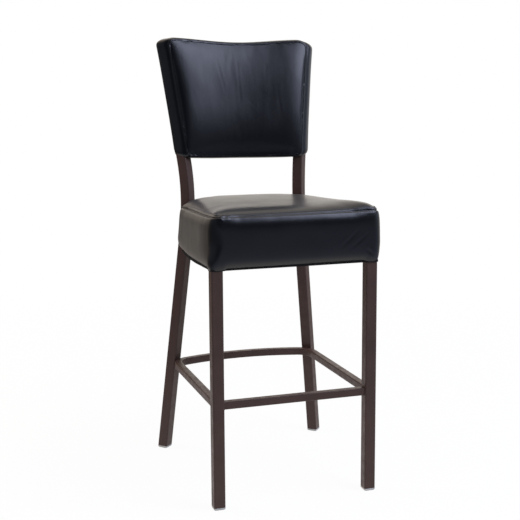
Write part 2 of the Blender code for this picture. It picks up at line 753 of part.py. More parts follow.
def seat_outline(height, inset, draw, tuck=0.0):
    """Plan outline of the seat, anticlockwise from the middle of the front.

    It passes the rear tubes with a clearance, wherever they are at this height. The sides are drawn in, less
    at the corners, and the rear side corners are tucked in too.
    """
    tube_middle = Rear.at(height)
    across = Vector((math.cos(REAR_TURN), -math.sin(REAR_TURN)))
    ahead = Vector((math.sin(REAR_TURN), math.cos(REAR_TURN)))
    half = LEG_TUBE * HALF_SHARE
    middle = Vector((tube_middle.x, tube_middle.y))
    by_front_corner = middle - ahead * (half + SEAT_LEG_CLEARANCE) + across * half
    by_inner_corner = middle - ahead * (half + SEAT_LEG_CLEARANCE) - across * half
    front = Vector((0, -SEAT_FRONT_OVERHANG))
    front_corner = Vector((FRONT_WIDTH * HALF_SHARE + SEAT_SIDE_OVERHANG, front.y))
    side_corner = Vector((middle.x + SEAT_BEYOND_TUBE, by_front_corner.y))
    rear_corner = Vector((by_inner_corner.x, seat_rear()))
    rear = Vector((0, seat_rear()))
    first = arc_points(front, front_corner, side_corner, SEAT_FRONT_CORNER)
    second = arc_points(front_corner, side_corner, by_front_corner, SEAT_SIDE_CORNER)
    corner_draw = draw * CORNER_DRAW_SHARE
    points = [(front.lerp(first[0], share_along), draw) for share_along in STRAIGHT_SHARES]
    points += [(point, corner_draw) for point in first]
    points += [(first[-1].lerp(second[0], share_along), draw) for share_along in SIDE_SHARES]
    points[-1] = (points[-1][0], draw + tuck * TUCK_SIDE_SHARE)
    points += [(point, corner_draw + tuck) for point in second]
    points += [(by_front_corner, 0), (by_inner_corner, 0), (rear_corner, 0)]
    points += [(rear_corner.lerp(rear, HALF_SHARE), draw * HALF_SHARE), (rear, draw * HALF_SHARE)]
    half_loop = [point for point, _ in points]
    weights = [weight for _, weight in points]
    loop = half_loop + [Vector((-p.x, p.y)) for p in reversed(half_loop[1:-1])]
    weights += list(reversed(weights[1:-1]))
    moved = []
    for i, point in enumerate(loop):
        ahead = loop[(i + 1) % len(loop)] - point
        behind = point - loop[i - 1]
        normal = Vector((-ahead.y, ahead.x)).normalized() + Vector((-behind.y, behind.x)).normalized()
        normal = normal.normalized() / max(math.cos(ahead.angle(behind) / 2), HALF_SHARE)
        moved.append(point + normal * (inset + weights[i]))
    return moved


def side_ring(share, inset, lift=0.0):
    """Ring round the seat's sides at a share of the height between the bottom and the seam.

    The hem's edge lies further in than the tuck of the rear side corners, and keeps clear of it.
    """
    low = seat_bottom(seat_rear())
    full_draw = SEAT_SEAM_DRAW if share > HALF_SHARE else SEAT_DRAW
    draw = full_draw * abs(2 * share - 1) ** DRAW_POWER_SHARE
    tuck = SEAT_CORNER_TUCK * max(1 - share / TUCK_HEIGHT_SHARE, 0) ** 2
    if inset >= SEAT_HEM:
        tuck = 0
    outline = seat_outline(low + (seat_seam(seat_rear()) - low) * share, inset, draw, tuck)
    return [Vector((p.x, p.y, seat_bottom(p.y) + (seat_seam(p.y) - seat_bottom(p.y)) * share + lift))
            for p in outline]


def crown_rise(point):
    """Rise of the top over the seam's plane, by how far a place is from the seat's middle."""
    depth = seat_rear() + SEAT_FRONT_OVERHANG
    share = (point.y + SEAT_FRONT_OVERHANG) / depth
    front_half = FRONT_WIDTH * HALF_SHARE + SEAT_SIDE_OVERHANG
    rear_half = Rear.at(seat_seam(seat_rear())).x + SEAT_BEYOND_TUBE
    u = min(abs(point.x) / (front_half + (rear_half - front_half) * share), 1)
    v = min(abs(2 * share - 1), 1)
    return SEAT_CROWN * math.sqrt((1 - u ** CROWN_POWER_SHARE) * (1 - v ** CROWN_POWER_SHARE))


def crown_ring(scale, inset, drop):
    """Ring on the seat's top, shrunk towards the middle, risen by the crown."""
    edge = seat_outline(seat_seam(seat_rear()), inset, SEAT_SEAM_DRAW)
    centre = Vector((0, seat_rear() * SEAT_CENTRE_SHARE))
    ring = []
    for p in edge:
        point = centre + (p - centre) * scale
        rise = crown_rise(point) - crown_rise(p) * scale ** CROWN_EDGE_POWER_SHARE
        ring.append(Vector((point.x, point.y, seat_seam(point.y) + rise - drop)))
    return ring


def crown_peak(drop):
    middle = seat_rear() * SEAT_CENTRE_SHARE
    return Vector((0, middle, seat_seam(middle) + SEAT_CROWN - drop))


def make_seat_cushion(cutters, pockets):
    """Seat board, foam, top panel, boxing and dust cover."""
    board_outline = seat_outline(board_bottom(seat_rear()), SEAT_BOARD_INSET, SEAT_DRAW)
    board = slab("seat_board", board_outline, board_bottom, board_top, "plywood")
    cut(board, pockets)
    inside = COVER + GAP
    foam_foot = seat_outline(board_top(seat_rear()), inside, SEAT_DRAW * HALF_SHARE)
    foam_rings = [[Vector((p.x, p.y, board_top(p.y) + GAP)) for p in foam_foot]]
    foam_rings += [side_ring(share, inside) for share in FOAM_SIDE_SHARES]
    foam_rings.append(side_ring(1, inside, -inside))
    foam_rings += [crown_ring(scale, inside, inside) for scale in CROWN_SCALE_SHARES]
    foam = crowned_solid("seat_foam", foam_rings, crown_peak(inside), "foam")
    smooth(foam)
    top_panel()
    boxing(cutters)
    dust_outline = seat_outline(seat_bottom(seat_rear()), DUST_COVER_INSET, SEAT_DRAW)
    dust = slab("seat_dust_cover", dust_outline,
                lambda y: seat_bottom(y) - GAP - DUST_COVER, lambda y: seat_bottom(y) - GAP, "dust_cloth")
    cut(dust, cutters[0])


def top_panel():
    """Crowned panel with a thickness, open below."""
    half_gap = GAP * HALF_SHARE
    outer = [side_ring(1, 0, half_gap)] + [crown_ring(scale, 0, 0) for scale in CROWN_SCALE_SHARES]
    inner = [side_ring(1, COVER, half_gap)]
    inner += [crown_ring(scale, COVER, COVER) for scale in CROWN_SCALE_SHARES]
    bm = bmesh.new()
    outer_loops = skin(bm, outer, False, True)
    inner_loops = skin(bm, inner, False, True)
    fan(bm, outer_loops[-1], crown_peak(0))
    fan(bm, inner_loops[-1], crown_peak(COVER))
    for i in range(len(outer_loops[0])):
        j = (i + 1) % len(outer_loops[0])
        bm.faces.new((outer_loops[0][i], outer_loops[0][j], inner_loops[0][j], inner_loops[0][i]))
    smooth(make_object("seat_cover_top", bm, "vinyl"))


def boxing(cutters):
    """Band round the seat, turned under at the bottom, with openings for the legs and the rails."""
    half_gap = GAP * HALF_SHARE
    outer = [side_ring(0, SEAT_HEM)]
    outer += [side_ring(share, 0) for share in SIDE_HEIGHT_SHARES[:-1]]
    outer.append(side_ring(1, 0, -half_gap))
    inner = [side_ring(0, SEAT_HEM, COVER), side_ring(0, COVER, COVER)]
    inner += [side_ring(share, COVER) for share in SIDE_HEIGHT_SHARES[1:-1]]
    inner.append(side_ring(1, COVER, -half_gap))
    band = ring_solid("seat_cover_boxing", outer + inner[::-1], "vinyl", True)
    smooth(band)
    for cutter in cutters:
        cut(band, cutter)


def back_height(across, up):
    """Height of a place on the back; the top edge dips in the middle and falls at its outer ends."""
    side = abs(across)
    if side < BACK_PEAK_SHARE:
        dip = BACK_TOP_DIP * (1 - (side / BACK_PEAK_SHARE) ** 2) ** 2
    else:
        dip = BACK_TOP_SHOULDER * ((side - BACK_PEAK_SHARE) / (1 - BACK_PEAK_SHARE)) ** 2
    return BACK_SEAM_BOTTOM + (BACK_HEIGHT - dip) * up


def back_place(across, up, behind):
    """Point a distance behind the curved line between the rear tubes' middles.

    Across runs from -1 to 1 between the tubes, up from 0 to 1 between the seams.
    """
    height = back_height(across, up)
    tube_middle = Rear.at(height)
    y = tube_middle.y + BACK_HOLLOW * (1 - across ** 2) + behind
    return Vector((across * tube_middle.x, y, height))


def back_up():
    """Direction up the back, as seen from the side."""
    return Vector((0, Rear.upper.y, Rear.upper.z)).normalized()


def swell(across, up):
    """Shape of the front panel's swell: one in the middle and zero at its seams."""
    return (1 - abs(across) ** BACK_SWELL_POWER_SHARE) * (1 - abs(2 * up - 1) ** BACK_SWELL_POWER_SHARE)


def front_face(across, up, inset):
    reach = LEG_TUBE * math.sqrt(HALF_SHARE) + BACK_FRONT_PAD
    return back_place(across, up, inset - reach - BACK_CROWN * swell(across, up))


def rear_face(across, up, inset):
    reach = LEG_TUBE * math.sqrt(HALF_SHARE) + BACK_REAR_PAD
    return back_place(across, up, reach - inset)


def seam_places(margin=0.0):
    """Places (across, up) round the back's seam and the outward direction of each.

    They run anticlockwise in a front view.
    """
    wide = 1 - margin / Rear.top.x
    low, high = margin / BACK_HEIGHT, 1 - margin / BACK_HEIGHT
    round_x = BACK_SEAM_CORNER / Rear.top.x
    round_z = BACK_SEAM_CORNER / BACK_HEIGHT
    corners = ((wide, low, -1, 1), (wide, high, 0, -1), (-wide, high, 1, -1), (-wide, low, 2, 1))
    arcs = []
    for across, up, quarter, into in corners:
        centre_x = across - math.copysign(round_x, across)
        centre_z = up + into * round_z
        arc = []
        for step in range(SEAM_CORNER_STEPS + 1):
            angle = (quarter + step / SEAM_CORNER_STEPS) * math.pi / 2
            arc.append((centre_x + round_x * math.cos(angle), centre_z + round_z * math.sin(angle),
                        math.cos(angle), math.sin(angle)))
        arcs.append(arc)
    places = []
    for arc, following, count in zip(arcs, arcs[1:] + arcs[:1], (SEAM_ROWS, SEAM_COLUMNS) * 2):
        places += arc
        start, end = arc[-1], following[0]
        for step in range(1, count):
            places.append(tuple(a + (b - a) * step / count for a, b in zip(start, end)))
    return places


def face_rings(face, scales, inset, margin=0.0):
    """Rings on one face of the back, shrunk from its seam towards its middle."""
    rings = []
    for scale in (1,) + scales:
        rings.append([face(x * scale, HALF_SHARE + (z - HALF_SHARE) * scale, inset)
                      for x, z, _, _ in seam_places(margin)])
    return rings


def panel(name, face, scales):
    """Front or rear panel of the back, as a sheet with the cover's thickness."""
    bm = bmesh.new()
    rims = []
    for inset in (0, COVER):
        loops = skin(bm, face_rings(face, scales, inset), False, True)
        fan(bm, loops[-1], face(0, HALF_SHARE, inset))
        rims.append(loops[0])
    for i in range(len(rims[0])):
        j = (i + 1) % len(rims[0])
        bm.faces.new((rims[0][i], rims[0][j], rims[1][j], rims[1][i]))
    smooth(make_object(name, bm, "vinyl"))


def band_ring(depth, proud, inset):
    """Ring round the back at a share of its depth, which stands out past the seams by a share."""
    side = LEG_TUBE * math.sqrt(HALF_SHARE) + BACK_SIDE_MARGIN
    ring = []
    for across, up, out_x, out_z in seam_places():
        front = front_face(across, up, COVER + BACK_LAYER_GAP)
        rear = rear_face(across, up, COVER + BACK_LAYER_GAP)
        sideways = (side * proud - inset) * out_x
        upwards = (BACK_EDGE_PROUD * proud - inset) * out_z
        ring.append(front.lerp(rear, depth) + Vector((sideways, 0, upwards)))
    return ring


def back_boxing(cutter):
    outer = [band_ring(depth, proud, 0) for depth, proud in BAND_SHARES]
    inner = [band_ring(depth, proud, COVER) for depth, proud in reversed(BAND_SHARES)]
    band = ring_solid("back_cover_boxing", outer + inner, "vinyl", True)
    smooth(band)
    cut(band, cutter)


def back_foam(cutter):
    """Pad between the front panel and the board; the rear tubes are cut out of it."""
    bm = bmesh.new()
    front = skin(bm, face_rings(front_face, FRONT_PANEL_SHARES, COVER + BACK_LAYER_GAP, BACK_INSIDE_MARGIN),
                 False, True)
    fan(bm, front[-1], front_face(0, HALF_SHARE, COVER + BACK_LAYER_GAP))

    def board_face(across, up, inset):
        return back_place(across, up, inset - BACK_BOARD_FORWARD)

    rear = skin(bm, face_rings(board_face, FOAM_REAR_SHARES, -BACK_LAYER_GAP, BACK_INSIDE_MARGIN),
                False, True)
    fan(bm, rear[-1], board_face(0, HALF_SHARE, -BACK_LAYER_GAP))
    for i in range(len(front[0])):
        j = (i + 1) % len(front[0])
        bm.faces.new((front[0][i], front[0][j], rear[0][j], rear[0][i]))
    foam = make_object("back_foam", bm, "foam")
    smooth(foam)
    cut(foam, cutter)


def board_columns():
    """Places across the back at which the board and the rails behind it turn."""
    wide = 1 - BACK_BOARD_SIDE / Rear.at(BACK_SEAM_BOTTOM).x
    return [wide * (2 * column / BOARD_COLUMNS - 1) for column in range(BOARD_COLUMNS + 1)]


def back_board():
    """Curved board between the tubes."""
    low, high = BACK_BOARD_END / BACK_HEIGHT, 1 - (BACK_BOARD_END + BACK_TOP_SHOULDER) / BACK_HEIGHT
    rings = []
    for across in board_columns():
        rings.append([back_place(across, up, behind - BACK_BOARD_FORWARD)
                      for up, behind in ((low, 0), (high, 0), (high, BACK_BOARD), (low, BACK_BOARD))])
    board = capped_solid("back_board", rings, "plywood")
    smooth(board)
    return board


def back_rail(name, level, cutter):
    """Level cross rail that follows the board's rear face."""
    behind = BACK_BOARD - BACK_BOARD_FORWARD + BACK_LAYER_GAP + BACK_RAIL * HALF_SHARE
    wide = 1 - BACK_RAIL_SHORT / Rear.at(BACK_SEAM_BOTTOM).x
    path = []
    for across in [-wide] + board_columns() + [wide]:
        full = back_height(across, 1) - back_height(across, 0)
        up = (level - BACK_SEAM_BOTTOM) / full
        path.append(back_place(across, up, behind))
    rail = tube(name, path, back_up(), BACK_RAIL, BACK_RAIL_WALL, BACK_RAIL_CORNER)
    cut(rail, cutter)
    return rail, path


def back_screws(rails, board):
    """Screws from behind through the cross rails into the board."""
    half = BACK_RAIL * HALF_SHARE
    face = half + BACK_LAYER_GAP
    head = -half - GAP
    profile = [(head - SCREW_HEAD, SCREW_HEAD_RADIUS), (head, SCREW_HEAD_RADIUS),
               (head, SCREW_RADIUS), (face + SCREW_BITE, SCREW_RADIUS)]
    places = []
    for rail, path in rails:
        screw_name = rail.name.replace("rail", "screw")
        for side, side_name in ((1, "right"), (-1, "left")):
            x = side * SCREW_HALF_SPACING
            for start, end in zip(path, path[1:]):
                if start.x <= x < end.x:
                    along = end - start
                    point = start + along * ((x - start.x) / along.x)
                    forward = along.cross(back_up()).normalized()
                    if forward.y > 0:
                        forward = -forward
                    turned(screw_name + "_" + side_name, profile, point, forward, "zinc_steel")
                    places.append((point, forward))
    bore = SCREW_RADIUS + SCREW_CLEARANCE
    holes = bores("cutter_screw_holes",
                  [(head - CUT_OVERRUN, bore), (face + SCREW_BITE + GAP, bore)], places)
    cut(board, holes)
    for rail, _ in rails:
        cut(rail, holes)


def make_back(cutter):
    """Cross rails, curved board, foam, covers and screws of the back."""
    rails = [back_rail("back_rail_bottom", BACK_SEAM_BOTTOM + BACK_RAIL_END, cutter),
             back_rail("back_rail_top", BACK_SEAM_TOP - BACK_TOP_DIP - BACK_RAIL_END, cutter)]
    board = back_board()
    back_screws(rails, board)
    back_foam(cutter)
    panel("back_cover_front", front_face, FRONT_PANEL_SHARES)
    panel("back_cover_rear", rear_face, REAR_PANEL_SHARES)
    back_boxing(cutter)


def centre_on_floor():
    """Moves the whole stool so that the middle of its box is over the origin."""
    bpy.context.view_layer.update()
    depsgraph = bpy.context.evaluated_depsgraph_get()
    lows = Vector((math.inf,) * 3)
    highs = Vector((-math.inf,) * 3)
    pieces = [item for item in bpy.data.objects if item.type == "MESH"]
    for item in pieces:
        if item.hide_render:
            continue
        shape = item.evaluated_get(depsgraph)
        for corner in shape.bound_box:
            place = shape.matrix_world @ Vector(corner)
            lows = Vector(map(min, lows, place))
            highs = Vector(map(max, highs, place))
    base = bpy.data.objects.new("stool", None)
    bpy.context.collection.objects.link(base)
    for item in pieces:
        item.parent = base
    base.location = (-(lows.x + highs.x) / 2, -(lows.y + highs.y) / 2, 0)


def main():
    clear_scene()
    cutter = make_legs()
    make_footrest(cutter)
    cutters = make_seat_frame(cutter)
    pockets = make_seat_fixings(cutter)
    make_seat_cushion(cutters, pockets)
    make_back(cutter)
    centre_on_floor()


main()
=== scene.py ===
"""Upholstered bar stool, dressed over its CAD frame.

The square tube frame, boards and fasteners are the CAD model's own solids, with painted, wooden and metal finishes.
The seat and the back get sewn covers that settle over their filling, with seams, stitches and creases, the frame
gets weld beads, and the dust cloth its staples. All sizes are in metres, and +Z is up.
"""

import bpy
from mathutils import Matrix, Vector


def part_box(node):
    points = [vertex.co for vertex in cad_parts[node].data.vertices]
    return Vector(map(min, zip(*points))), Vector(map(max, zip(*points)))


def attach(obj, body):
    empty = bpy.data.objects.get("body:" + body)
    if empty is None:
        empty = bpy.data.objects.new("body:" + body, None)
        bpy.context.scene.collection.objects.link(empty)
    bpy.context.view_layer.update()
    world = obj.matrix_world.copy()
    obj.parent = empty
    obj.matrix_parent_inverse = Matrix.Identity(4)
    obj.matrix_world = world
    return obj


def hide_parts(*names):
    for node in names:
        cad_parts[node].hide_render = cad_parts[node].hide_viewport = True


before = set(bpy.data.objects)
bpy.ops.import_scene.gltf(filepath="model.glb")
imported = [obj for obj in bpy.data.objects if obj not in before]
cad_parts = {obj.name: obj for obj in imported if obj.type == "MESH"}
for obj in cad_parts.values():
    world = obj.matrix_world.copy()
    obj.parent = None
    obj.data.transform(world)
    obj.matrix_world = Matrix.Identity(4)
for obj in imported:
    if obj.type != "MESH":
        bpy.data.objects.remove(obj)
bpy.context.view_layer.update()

import math

import bmesh
import bpy
from bpy.props import BoolProperty, FloatProperty, FloatVectorProperty, IntProperty, PointerProperty
from mathutils import Matrix, Vector, noise

bl_info = {
    "name": "Upholstered Bar Stool",
    "version": (1, 0, 0),
    "blender": (4, 5, 0),
    "location": "3D View > Sidebar > Stool",
    "description": "Dresses the frame of a bar stool with covers, seams and finishes",
    "category": "Object",
}

# The frame's own places
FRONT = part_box("front_leg_right")[0].y  # front faces of the front legs
LEG_TUBE = 0.030
HALF_DIAGONAL = LEG_TUBE * math.sqrt(0.5)
FRONT_WIDTH = 0.440
REST_TUBE = 0.020

# Rear tubes: straight, bent once at the knee, straight
KNEE = Vector((0.1608, 0.4454, 0.7500))
LOWER = Vector((math.tan(math.radians(-5.611)), math.tan(math.radians(-4.740)), 1)).normalized()
UPPER = Vector((math.tan(math.radians(6.53)), math.tan(math.radians(10.66)), 1)).normalized()
KNEE_RADIUS = 0.600
KNEE_STEPS = 24
UPPER_LENGTH = 0.6  # longer than the tube, so that every height of the back is found on it
TURN = math.radians(42)  # turn of the rear tubes about their length

# Seat: levels at the front, and how much lower they are at the rear
SEAM_LEVEL = 0.7465
SEAM_FALL = 0.0290
BOTTOM_LEVEL = 0.6190
BOTTOM_FALL = 0.0195
REAR_BOTTOM = BOTTOM_LEVEL - BOTTOM_FALL

# Seat: its plan
FRONT_OVERHANG = 0.008
SIDE_OVERHANG = 0.009
BEYOND_TUBE = 0.0345  # side corners beyond the middles of the rear tubes
PAST_TUBE = 0.012  # rear edge behind them
FRONT_CORNER = 0.024
CORNER_WIDENING = 0.3  # how much rounder the front right corner is at the seam
SIDE_CORNER = 0.032
TUBE_CLEARANCE = 0.0010
SEAM_DRAW = 0.0050  # sides drawn in at the seam
BOTTOM_DRAW = 0.0040
CORNER_DRAW_SHARE = 0.35  # share of the draw at the corners' middles
REAR_DRAW_SHARE = 0.5
REAR_DRAW_STEPS = 8
CORNER_TUCK = 0.0120  # rear side corners drawn in at the bottom
CORNER_LIFT = 0.0030
TUCK_HEIGHT = 0.35  # part of the sides' height that is tucked
SHOULDER = 0.0055  # roll of the sides over to the seam
SHOULDER_HEIGHT = 0.028
SHOULDER_POWER = 2.2
SIDE_BOW_POWER = 4  # how flat the sides stand between the draws at their seam and bottom
TUCK_AHEAD = 1.3  # lengths of a corner over which the tuck fades toward the front and toward the tube
TUCK_BEHIND = 0.5
LEFT_PUFF = 0.006  # extra radius of the front left corner at half height
PUFF_HEIGHT = 0.9  # share of the sides' height that is puffed
DRAW_FADE = 1.2  # lengths of a corner over which the draw grows away from its middle
DRAW_FADE_POWER = 1.5

# Seat: the crown over its seam
FRONT_CROWN = 0.0200
REAR_CROWN = 0.0336
RISE_START = 0.10  # share of the depth where the crown starts to rise from front to rear
RISE_LENGTH = 0.75  # share of the depth over which it rises
RIGHT_RISE_DELAY = 0.12  # how much later it starts on the right, and over how much less it rises
RIGHT_RISE_CUT = 0.07
RIGHT_SIDE = (0.02, 0.18)  # places across where the right side's own crown starts and where it is full
RIGHT_FALL = 0.38  # how much lower the crown is toward the rear right
RIGHT_LIFT = 0.0066  # how much higher the crown is toward the front right
RIGHT_FULL = 0.0130  # fullness of the front right corner
RIGHT_FULL_SPREAD = 0.0024  # square of the length over which that fullness fades
LEFT_SIDE_POWER = 6  # how square the crown stands at its sides, front and rear
RIGHT_SIDE_POWER = 14
FRONT_POWER = 12
RIGHT_FRONT_POWER = 14  # added to it on the right
REAR_POWER = 5
EDGE_FADE_POWER = 8  # how close to the outline the crown comes down to the seam

# Seat: slack and fullness of the boxing at its front corners
LEFT_SLACK = 0.0110  # how far the cover falls in beside the front left corner
LEFT_SLACK_LENGTH = 0.130
LEFT_SLACK_POWER = 2.2
LEFT_SLACK_LEAST = 0.15  # share of it that is left at the bottom
LEFT_SLACK_SIDE = (-0.06, -0.21)  # places across where it starts and where it is full
LEFT_SLACK_RISE = (0.08, 0.50)  # shares of the sides' height likewise
RIGHT_SWELL = 0.0042  # how far the front right corner stands out over its height
RIGHT_SWELL_LENGTH = 0.16
RIGHT_SWELL_SIDE = (0.08, 0.20)
RIGHT_SWELL_RISE = (0.0, 0.35)

# Seat: hem
LEG_TAB = 0.0045  # how far the hem hangs lower over the front legs
LEG_TAB_HEIGHT = 0.030
LEG_TAB_POWER = 1.5
LEG_TAB_MARGIN = 0.004  # how far a tab reaches inward of its leg, and the steps at its sides and its rear
LEG_TAB_EDGE = 0.005
LEG_TAB_REAR = 0.006
ROLL_END = 0.0004  # height of the bottom roll's end over the bottom
ROLL_INSET = 0.0065  # how far in the hem's band starts
HEM_BAND = 0.0052  # how far the hem's band hangs under the bottom
HEM_BAND_SHEET = 0.0007
BAND_LEFT_SHARE = 0.80  # share of the band that hangs out at the left front
BAND_FRONT = (-0.20, 0.05)  # places across where it starts to grow and where it is full
BAND_SIDE = -0.15  # the left side lies beyond this place across
BAND_SIDE_SHARE = 0.90  # how much more hangs out toward the rear of the left side
BAND_SIDE_LENGTH = 0.20
HEM = 0.022  # how far the hem is turned under
ROOM_STEP = 0.0005  # steps in which its room is measured
LEG_SLIT = 0.0008  # between the hem and the front legs
RAIL_SLIT = 0.0285  # height of the slits over the rear rail's ends
COVER = 0.0014  # thickness of the covers
SEAM_HOLD = 0.9  # how firmly the seams are held while a cover settles

# Back
BACK_BOTTOM = 0.8580
BACK_HEIGHT = 0.3240
TOP_DIP = 0.0100  # how much lower the top is in its middle
TOP_SHOULDER = 0.0060  # how much lower it is at its left corner
SHOULDER_START = 0.84  # place across where the top starts to fall to the corner
RIGHT_SHOULDER = 1.7  # times as much at its right corner
BACK_CORNER = 0.012
FRONT_PAD = 0.0050
REAR_PAD = 0.0040
SIDE_MARGIN = 0.0036  # how far the band stands out beyond the tubes' edges
EDGE_PROUD = 0.0055  # how far it stands out at the bottom, and at the top
TOP_PROUD = 0.0032
EDGE_ROLL = 0.0042  # how far the front panel stands over its seam
EDGE_ROLL_WIDTH = 0.022
RIGHT_ROLL_CUT = 0.35  # share of that which is missing at the right edge
LEFT_ROLL_STEEPNESS = 1.45
BOTTOM_SAG = 0.0045  # how much lower the bottom is in its middle
BACK_RISE = 0.0034  # how much higher the top is all along
BACK_TILT = 0.0030  # how much higher the back's left end is pulled than its middle
LEFT_SEAM_SHIFT = 0.0040  # how far in the left seam is pulled
SWELL = 0.0130  # fullness of the front panel, and how square it is toward each edge
SWELL_LEFT_POWER = 8
SWELL_RIGHT_POWER = 10
SWELL_LOW_POWER = 3.0
SWELL_HIGH_POWER = 3.6
HOLLOW = 0.0180  # how far the back bends to the rear between the tubes
SEAM_SINK = 0.0012  # how far the seams lie under the panels
TUBE_OPENING = 0.0006  # between the back's bottom and the rear tubes
OPENING_HEIGHT = 0.02  # faces of the bottom lie lower than this over the back's lowest level

# Camera, fitted to the photo's edges: angles in degrees, lens and sensor in millimetres, shifts in picture widths
CAMERA_PLACE = (-0.8843, -2.785263, 1.1056)
CAMERA_YAW = 17.894
CAMERA_PITCH = 8.951
CAMERA_ROLL = 0.276
CAMERA_LENS = 74.852
CAMERA_SENSOR = 36.0
CAMERA_SHIFT = (-0.01471, -0.04246)


class StoolFrameLook(bpy.types.PropertyGroup):
    paint: FloatVectorProperty(name="Paint", description="Colour of the powder coat on the tubes",
                               default=(0.060, 0.0320, 0.0262), size=3, min=0, max=1, subtype="COLOR")
    paint_roughness: FloatProperty(name="Paint roughness", description="Roughness of the powder coat",
                                   default=0.44, min=0, max=1, subtype="FACTOR")
    weld: FloatProperty(name="Weld bead", description="Radius of the weld beads at the tube joints",
                        default=0.0015, min=0.0005, max=0.003, unit="LENGTH")


class StoolCoverLook(bpy.types.PropertyGroup):
    vinyl: FloatVectorProperty(name="Vinyl", description="Colour of the covers",
                               default=(0.0018, 0.0021, 0.0038), size=3, min=0, max=1, subtype="COLOR")
    gloss: FloatProperty(name="Vinyl roughness", description="Roughness of the covers",
                         default=0.30, min=0, max=1, subtype="FACTOR")
    # The thread's pale bluish colour is partly its own and partly stands in for the bluish highlight on the stitches:
    # a painted highlight.
    thread: FloatVectorProperty(name="Thread", description="Colour of the stitches",
                                default=(0.075, 0.085, 0.115), size=3, min=0, max=1, subtype="COLOR")
    stitch_pitch: FloatProperty(name="Stitch pitch", description="Distance from one stitch to the next",
                                default=0.0044, min=0.002, max=0.012, unit="LENGTH")
    stitch_length: FloatProperty(name="Stitch length", description="Visible length of a stitch",
                                 default=0.0032, min=0.001, max=0.010, unit="LENGTH")
    settle_frames: IntProperty(name="Settling steps", description="Steps in which a cover settles over its filling",
                               default=20, min=1, max=60)
    seat_room: FloatProperty(name="Seat settling", description="Farthest that the seat's cover moves as it settles",
                             default=0.0035, min=0, max=0.016, unit="LENGTH")
    back_room: FloatProperty(name="Back settling", description="Farthest that the back's cover moves as it settles",
                             default=0.0028, min=0, max=0.016, unit="LENGTH")
    staple_pitch: FloatProperty(name="Staple pitch", description="Distance from one staple to the next",
                                default=0.042, min=0.01, max=0.2, unit="LENGTH")


class StoolStudio(bpy.types.PropertyGroup):
    floor: FloatVectorProperty(name="Floor", description="Colour of the floor and the backdrop",
                               default=(0.50, 0.50, 0.50), size=3, min=0, max=1, subtype="COLOR")
    show_floor: BoolProperty(name="Floor", description="Puts the stool on a floor", default=True)


# Steps and meshes

def clamped(value):
    return min(max(value, 0), 1)


def part(value, start, end):
    """How much of the way from a start to an end a value has gone, from 0 to 1."""
    return clamped((value - start) / (end - start))


def eased(value):
    """A share from 0 to 1, with soft ends."""
    return value * value * (3 - 2 * value)


def alone(item):
    """Selects one object and nothing else."""
    bpy.ops.object.select_all(action="DESELECT")
    item.select_set(True)
    bpy.context.view_layer.objects.active = item


def mesh_object(name, points, faces):
    mesh = bpy.data.meshes.new(name)
    mesh.from_pydata([tuple(p) for p in points], [], faces)
    mesh.update()
    item = bpy.data.objects.new(name, mesh)
    bpy.context.scene.collection.objects.link(item)
    return item


def finished(item, name, material, angle):
    """Names a piece, gives it its material, shades it smooth up to an angle and lets it ride with the frame."""
    item.name = name
    item.data.name = name
    item.data.materials.clear()
    item.data.materials.append(material)
    alone(item)
    bpy.ops.object.shade_smooth_by_angle(angle=math.radians(angle))
    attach(item, "root")


def apply_modifier(item, kind, **settings):
    alone(item)
    change = item.modifiers.new(kind.title(), kind)
    for key, value in settings.items():
        setattr(change, key, value)
    bpy.ops.object.modifier_apply(modifier=change.name)


def joined(items):
    """Joins objects to the first of them."""
    alone(items[0])
    for item in items:
        item.select_set(True)
    bpy.ops.object.join()
    return items[0]


def spaced(path, pitch, closed):
    """Points at even steps along a path, each with the path's direction there."""
    line = list(path) + ([path[0]] if closed else [])
    lengths = [(b - a).length for a, b in zip(line, line[1:])]
    total = sum(lengths)
    count = max(int(round(total / pitch)), 1)
    places = []
    at, walked = 0, 0.0
    for step in range(count if closed else count + 1):
        goal = total * step / count
        while at < len(lengths) - 1 and walked + lengths[at] < goal:
            walked += lengths[at]
            at += 1
        share = clamped((goal - walked) / max(lengths[at], 1e-9))
        places.append((line[at].lerp(line[at + 1], share), (line[at + 1] - line[at]).normalized()))
    return places


def copies(name, model, frames):
    """One mesh with a copy of a model at each placing matrix."""
    source = model.data
    points = [v.co.copy() for v in source.vertices]
    faces = [tuple(p.vertices) for p in source.polygons]
    all_points, all_faces = [], []
    for place in frames:
        base = len(all_points)
        all_points += [place @ p for p in points]
        all_faces += [tuple(base + i for i in face) for face in faces]
    bpy.data.objects.remove(model, do_unlink=True)
    return mesh_object(name, all_points, all_faces)


def placing(place, along, normal):
    """Matrix that lays a model's X along a direction and its Z along a normal."""
    z = normal.normalized()
    x = (along - z * along.dot(z)).normalized()
    return Matrix.Translation(place) @ Matrix((x, z.cross(x), z)).transposed().to_4x4()


# The lines of the frame

def rear_path():
    """Points down the middle of the right rear tube, from the floor up."""
    half = LOWER.angle(UPPER) / 2
    start = KNEE - LOWER * (KNEE_RADIUS * math.tan(half))
    across = LOWER.cross(UPPER).normalized()
    centre = start + across.cross(LOWER).normalized() * KNEE_RADIUS
    points = [KNEE - LOWER * (KNEE.z / LOWER.z)]
    for step in range(KNEE_STEPS + 1):
        points.append(centre + Matrix.Rotation(2 * half * step / KNEE_STEPS, 3, across) @ (start - centre))
    points.append(KNEE + UPPER * UPPER_LENGTH)
    return points


REAR_PATH = rear_path()


def rear_tube(height):
    """The middle of the right rear tube at a height."""
    for low, high in zip(REAR_PATH, REAR_PATH[1:]):
        if height <= high.z:
            return low.lerp(high, (height - low.z) / (high.z - low.z))
    return REAR_PATH[-1]


SEAT_REAR = rear_tube(BOTTOM_LEVEL).y + PAST_TUBE
ACROSS = Vector((math.cos(TURN), -math.sin(TURN)))
AHEAD = Vector((math.sin(TURN), math.cos(TURN)))


def seat_bottom(y):
    return BOTTOM_LEVEL - BOTTOM_FALL * y / SEAT_REAR


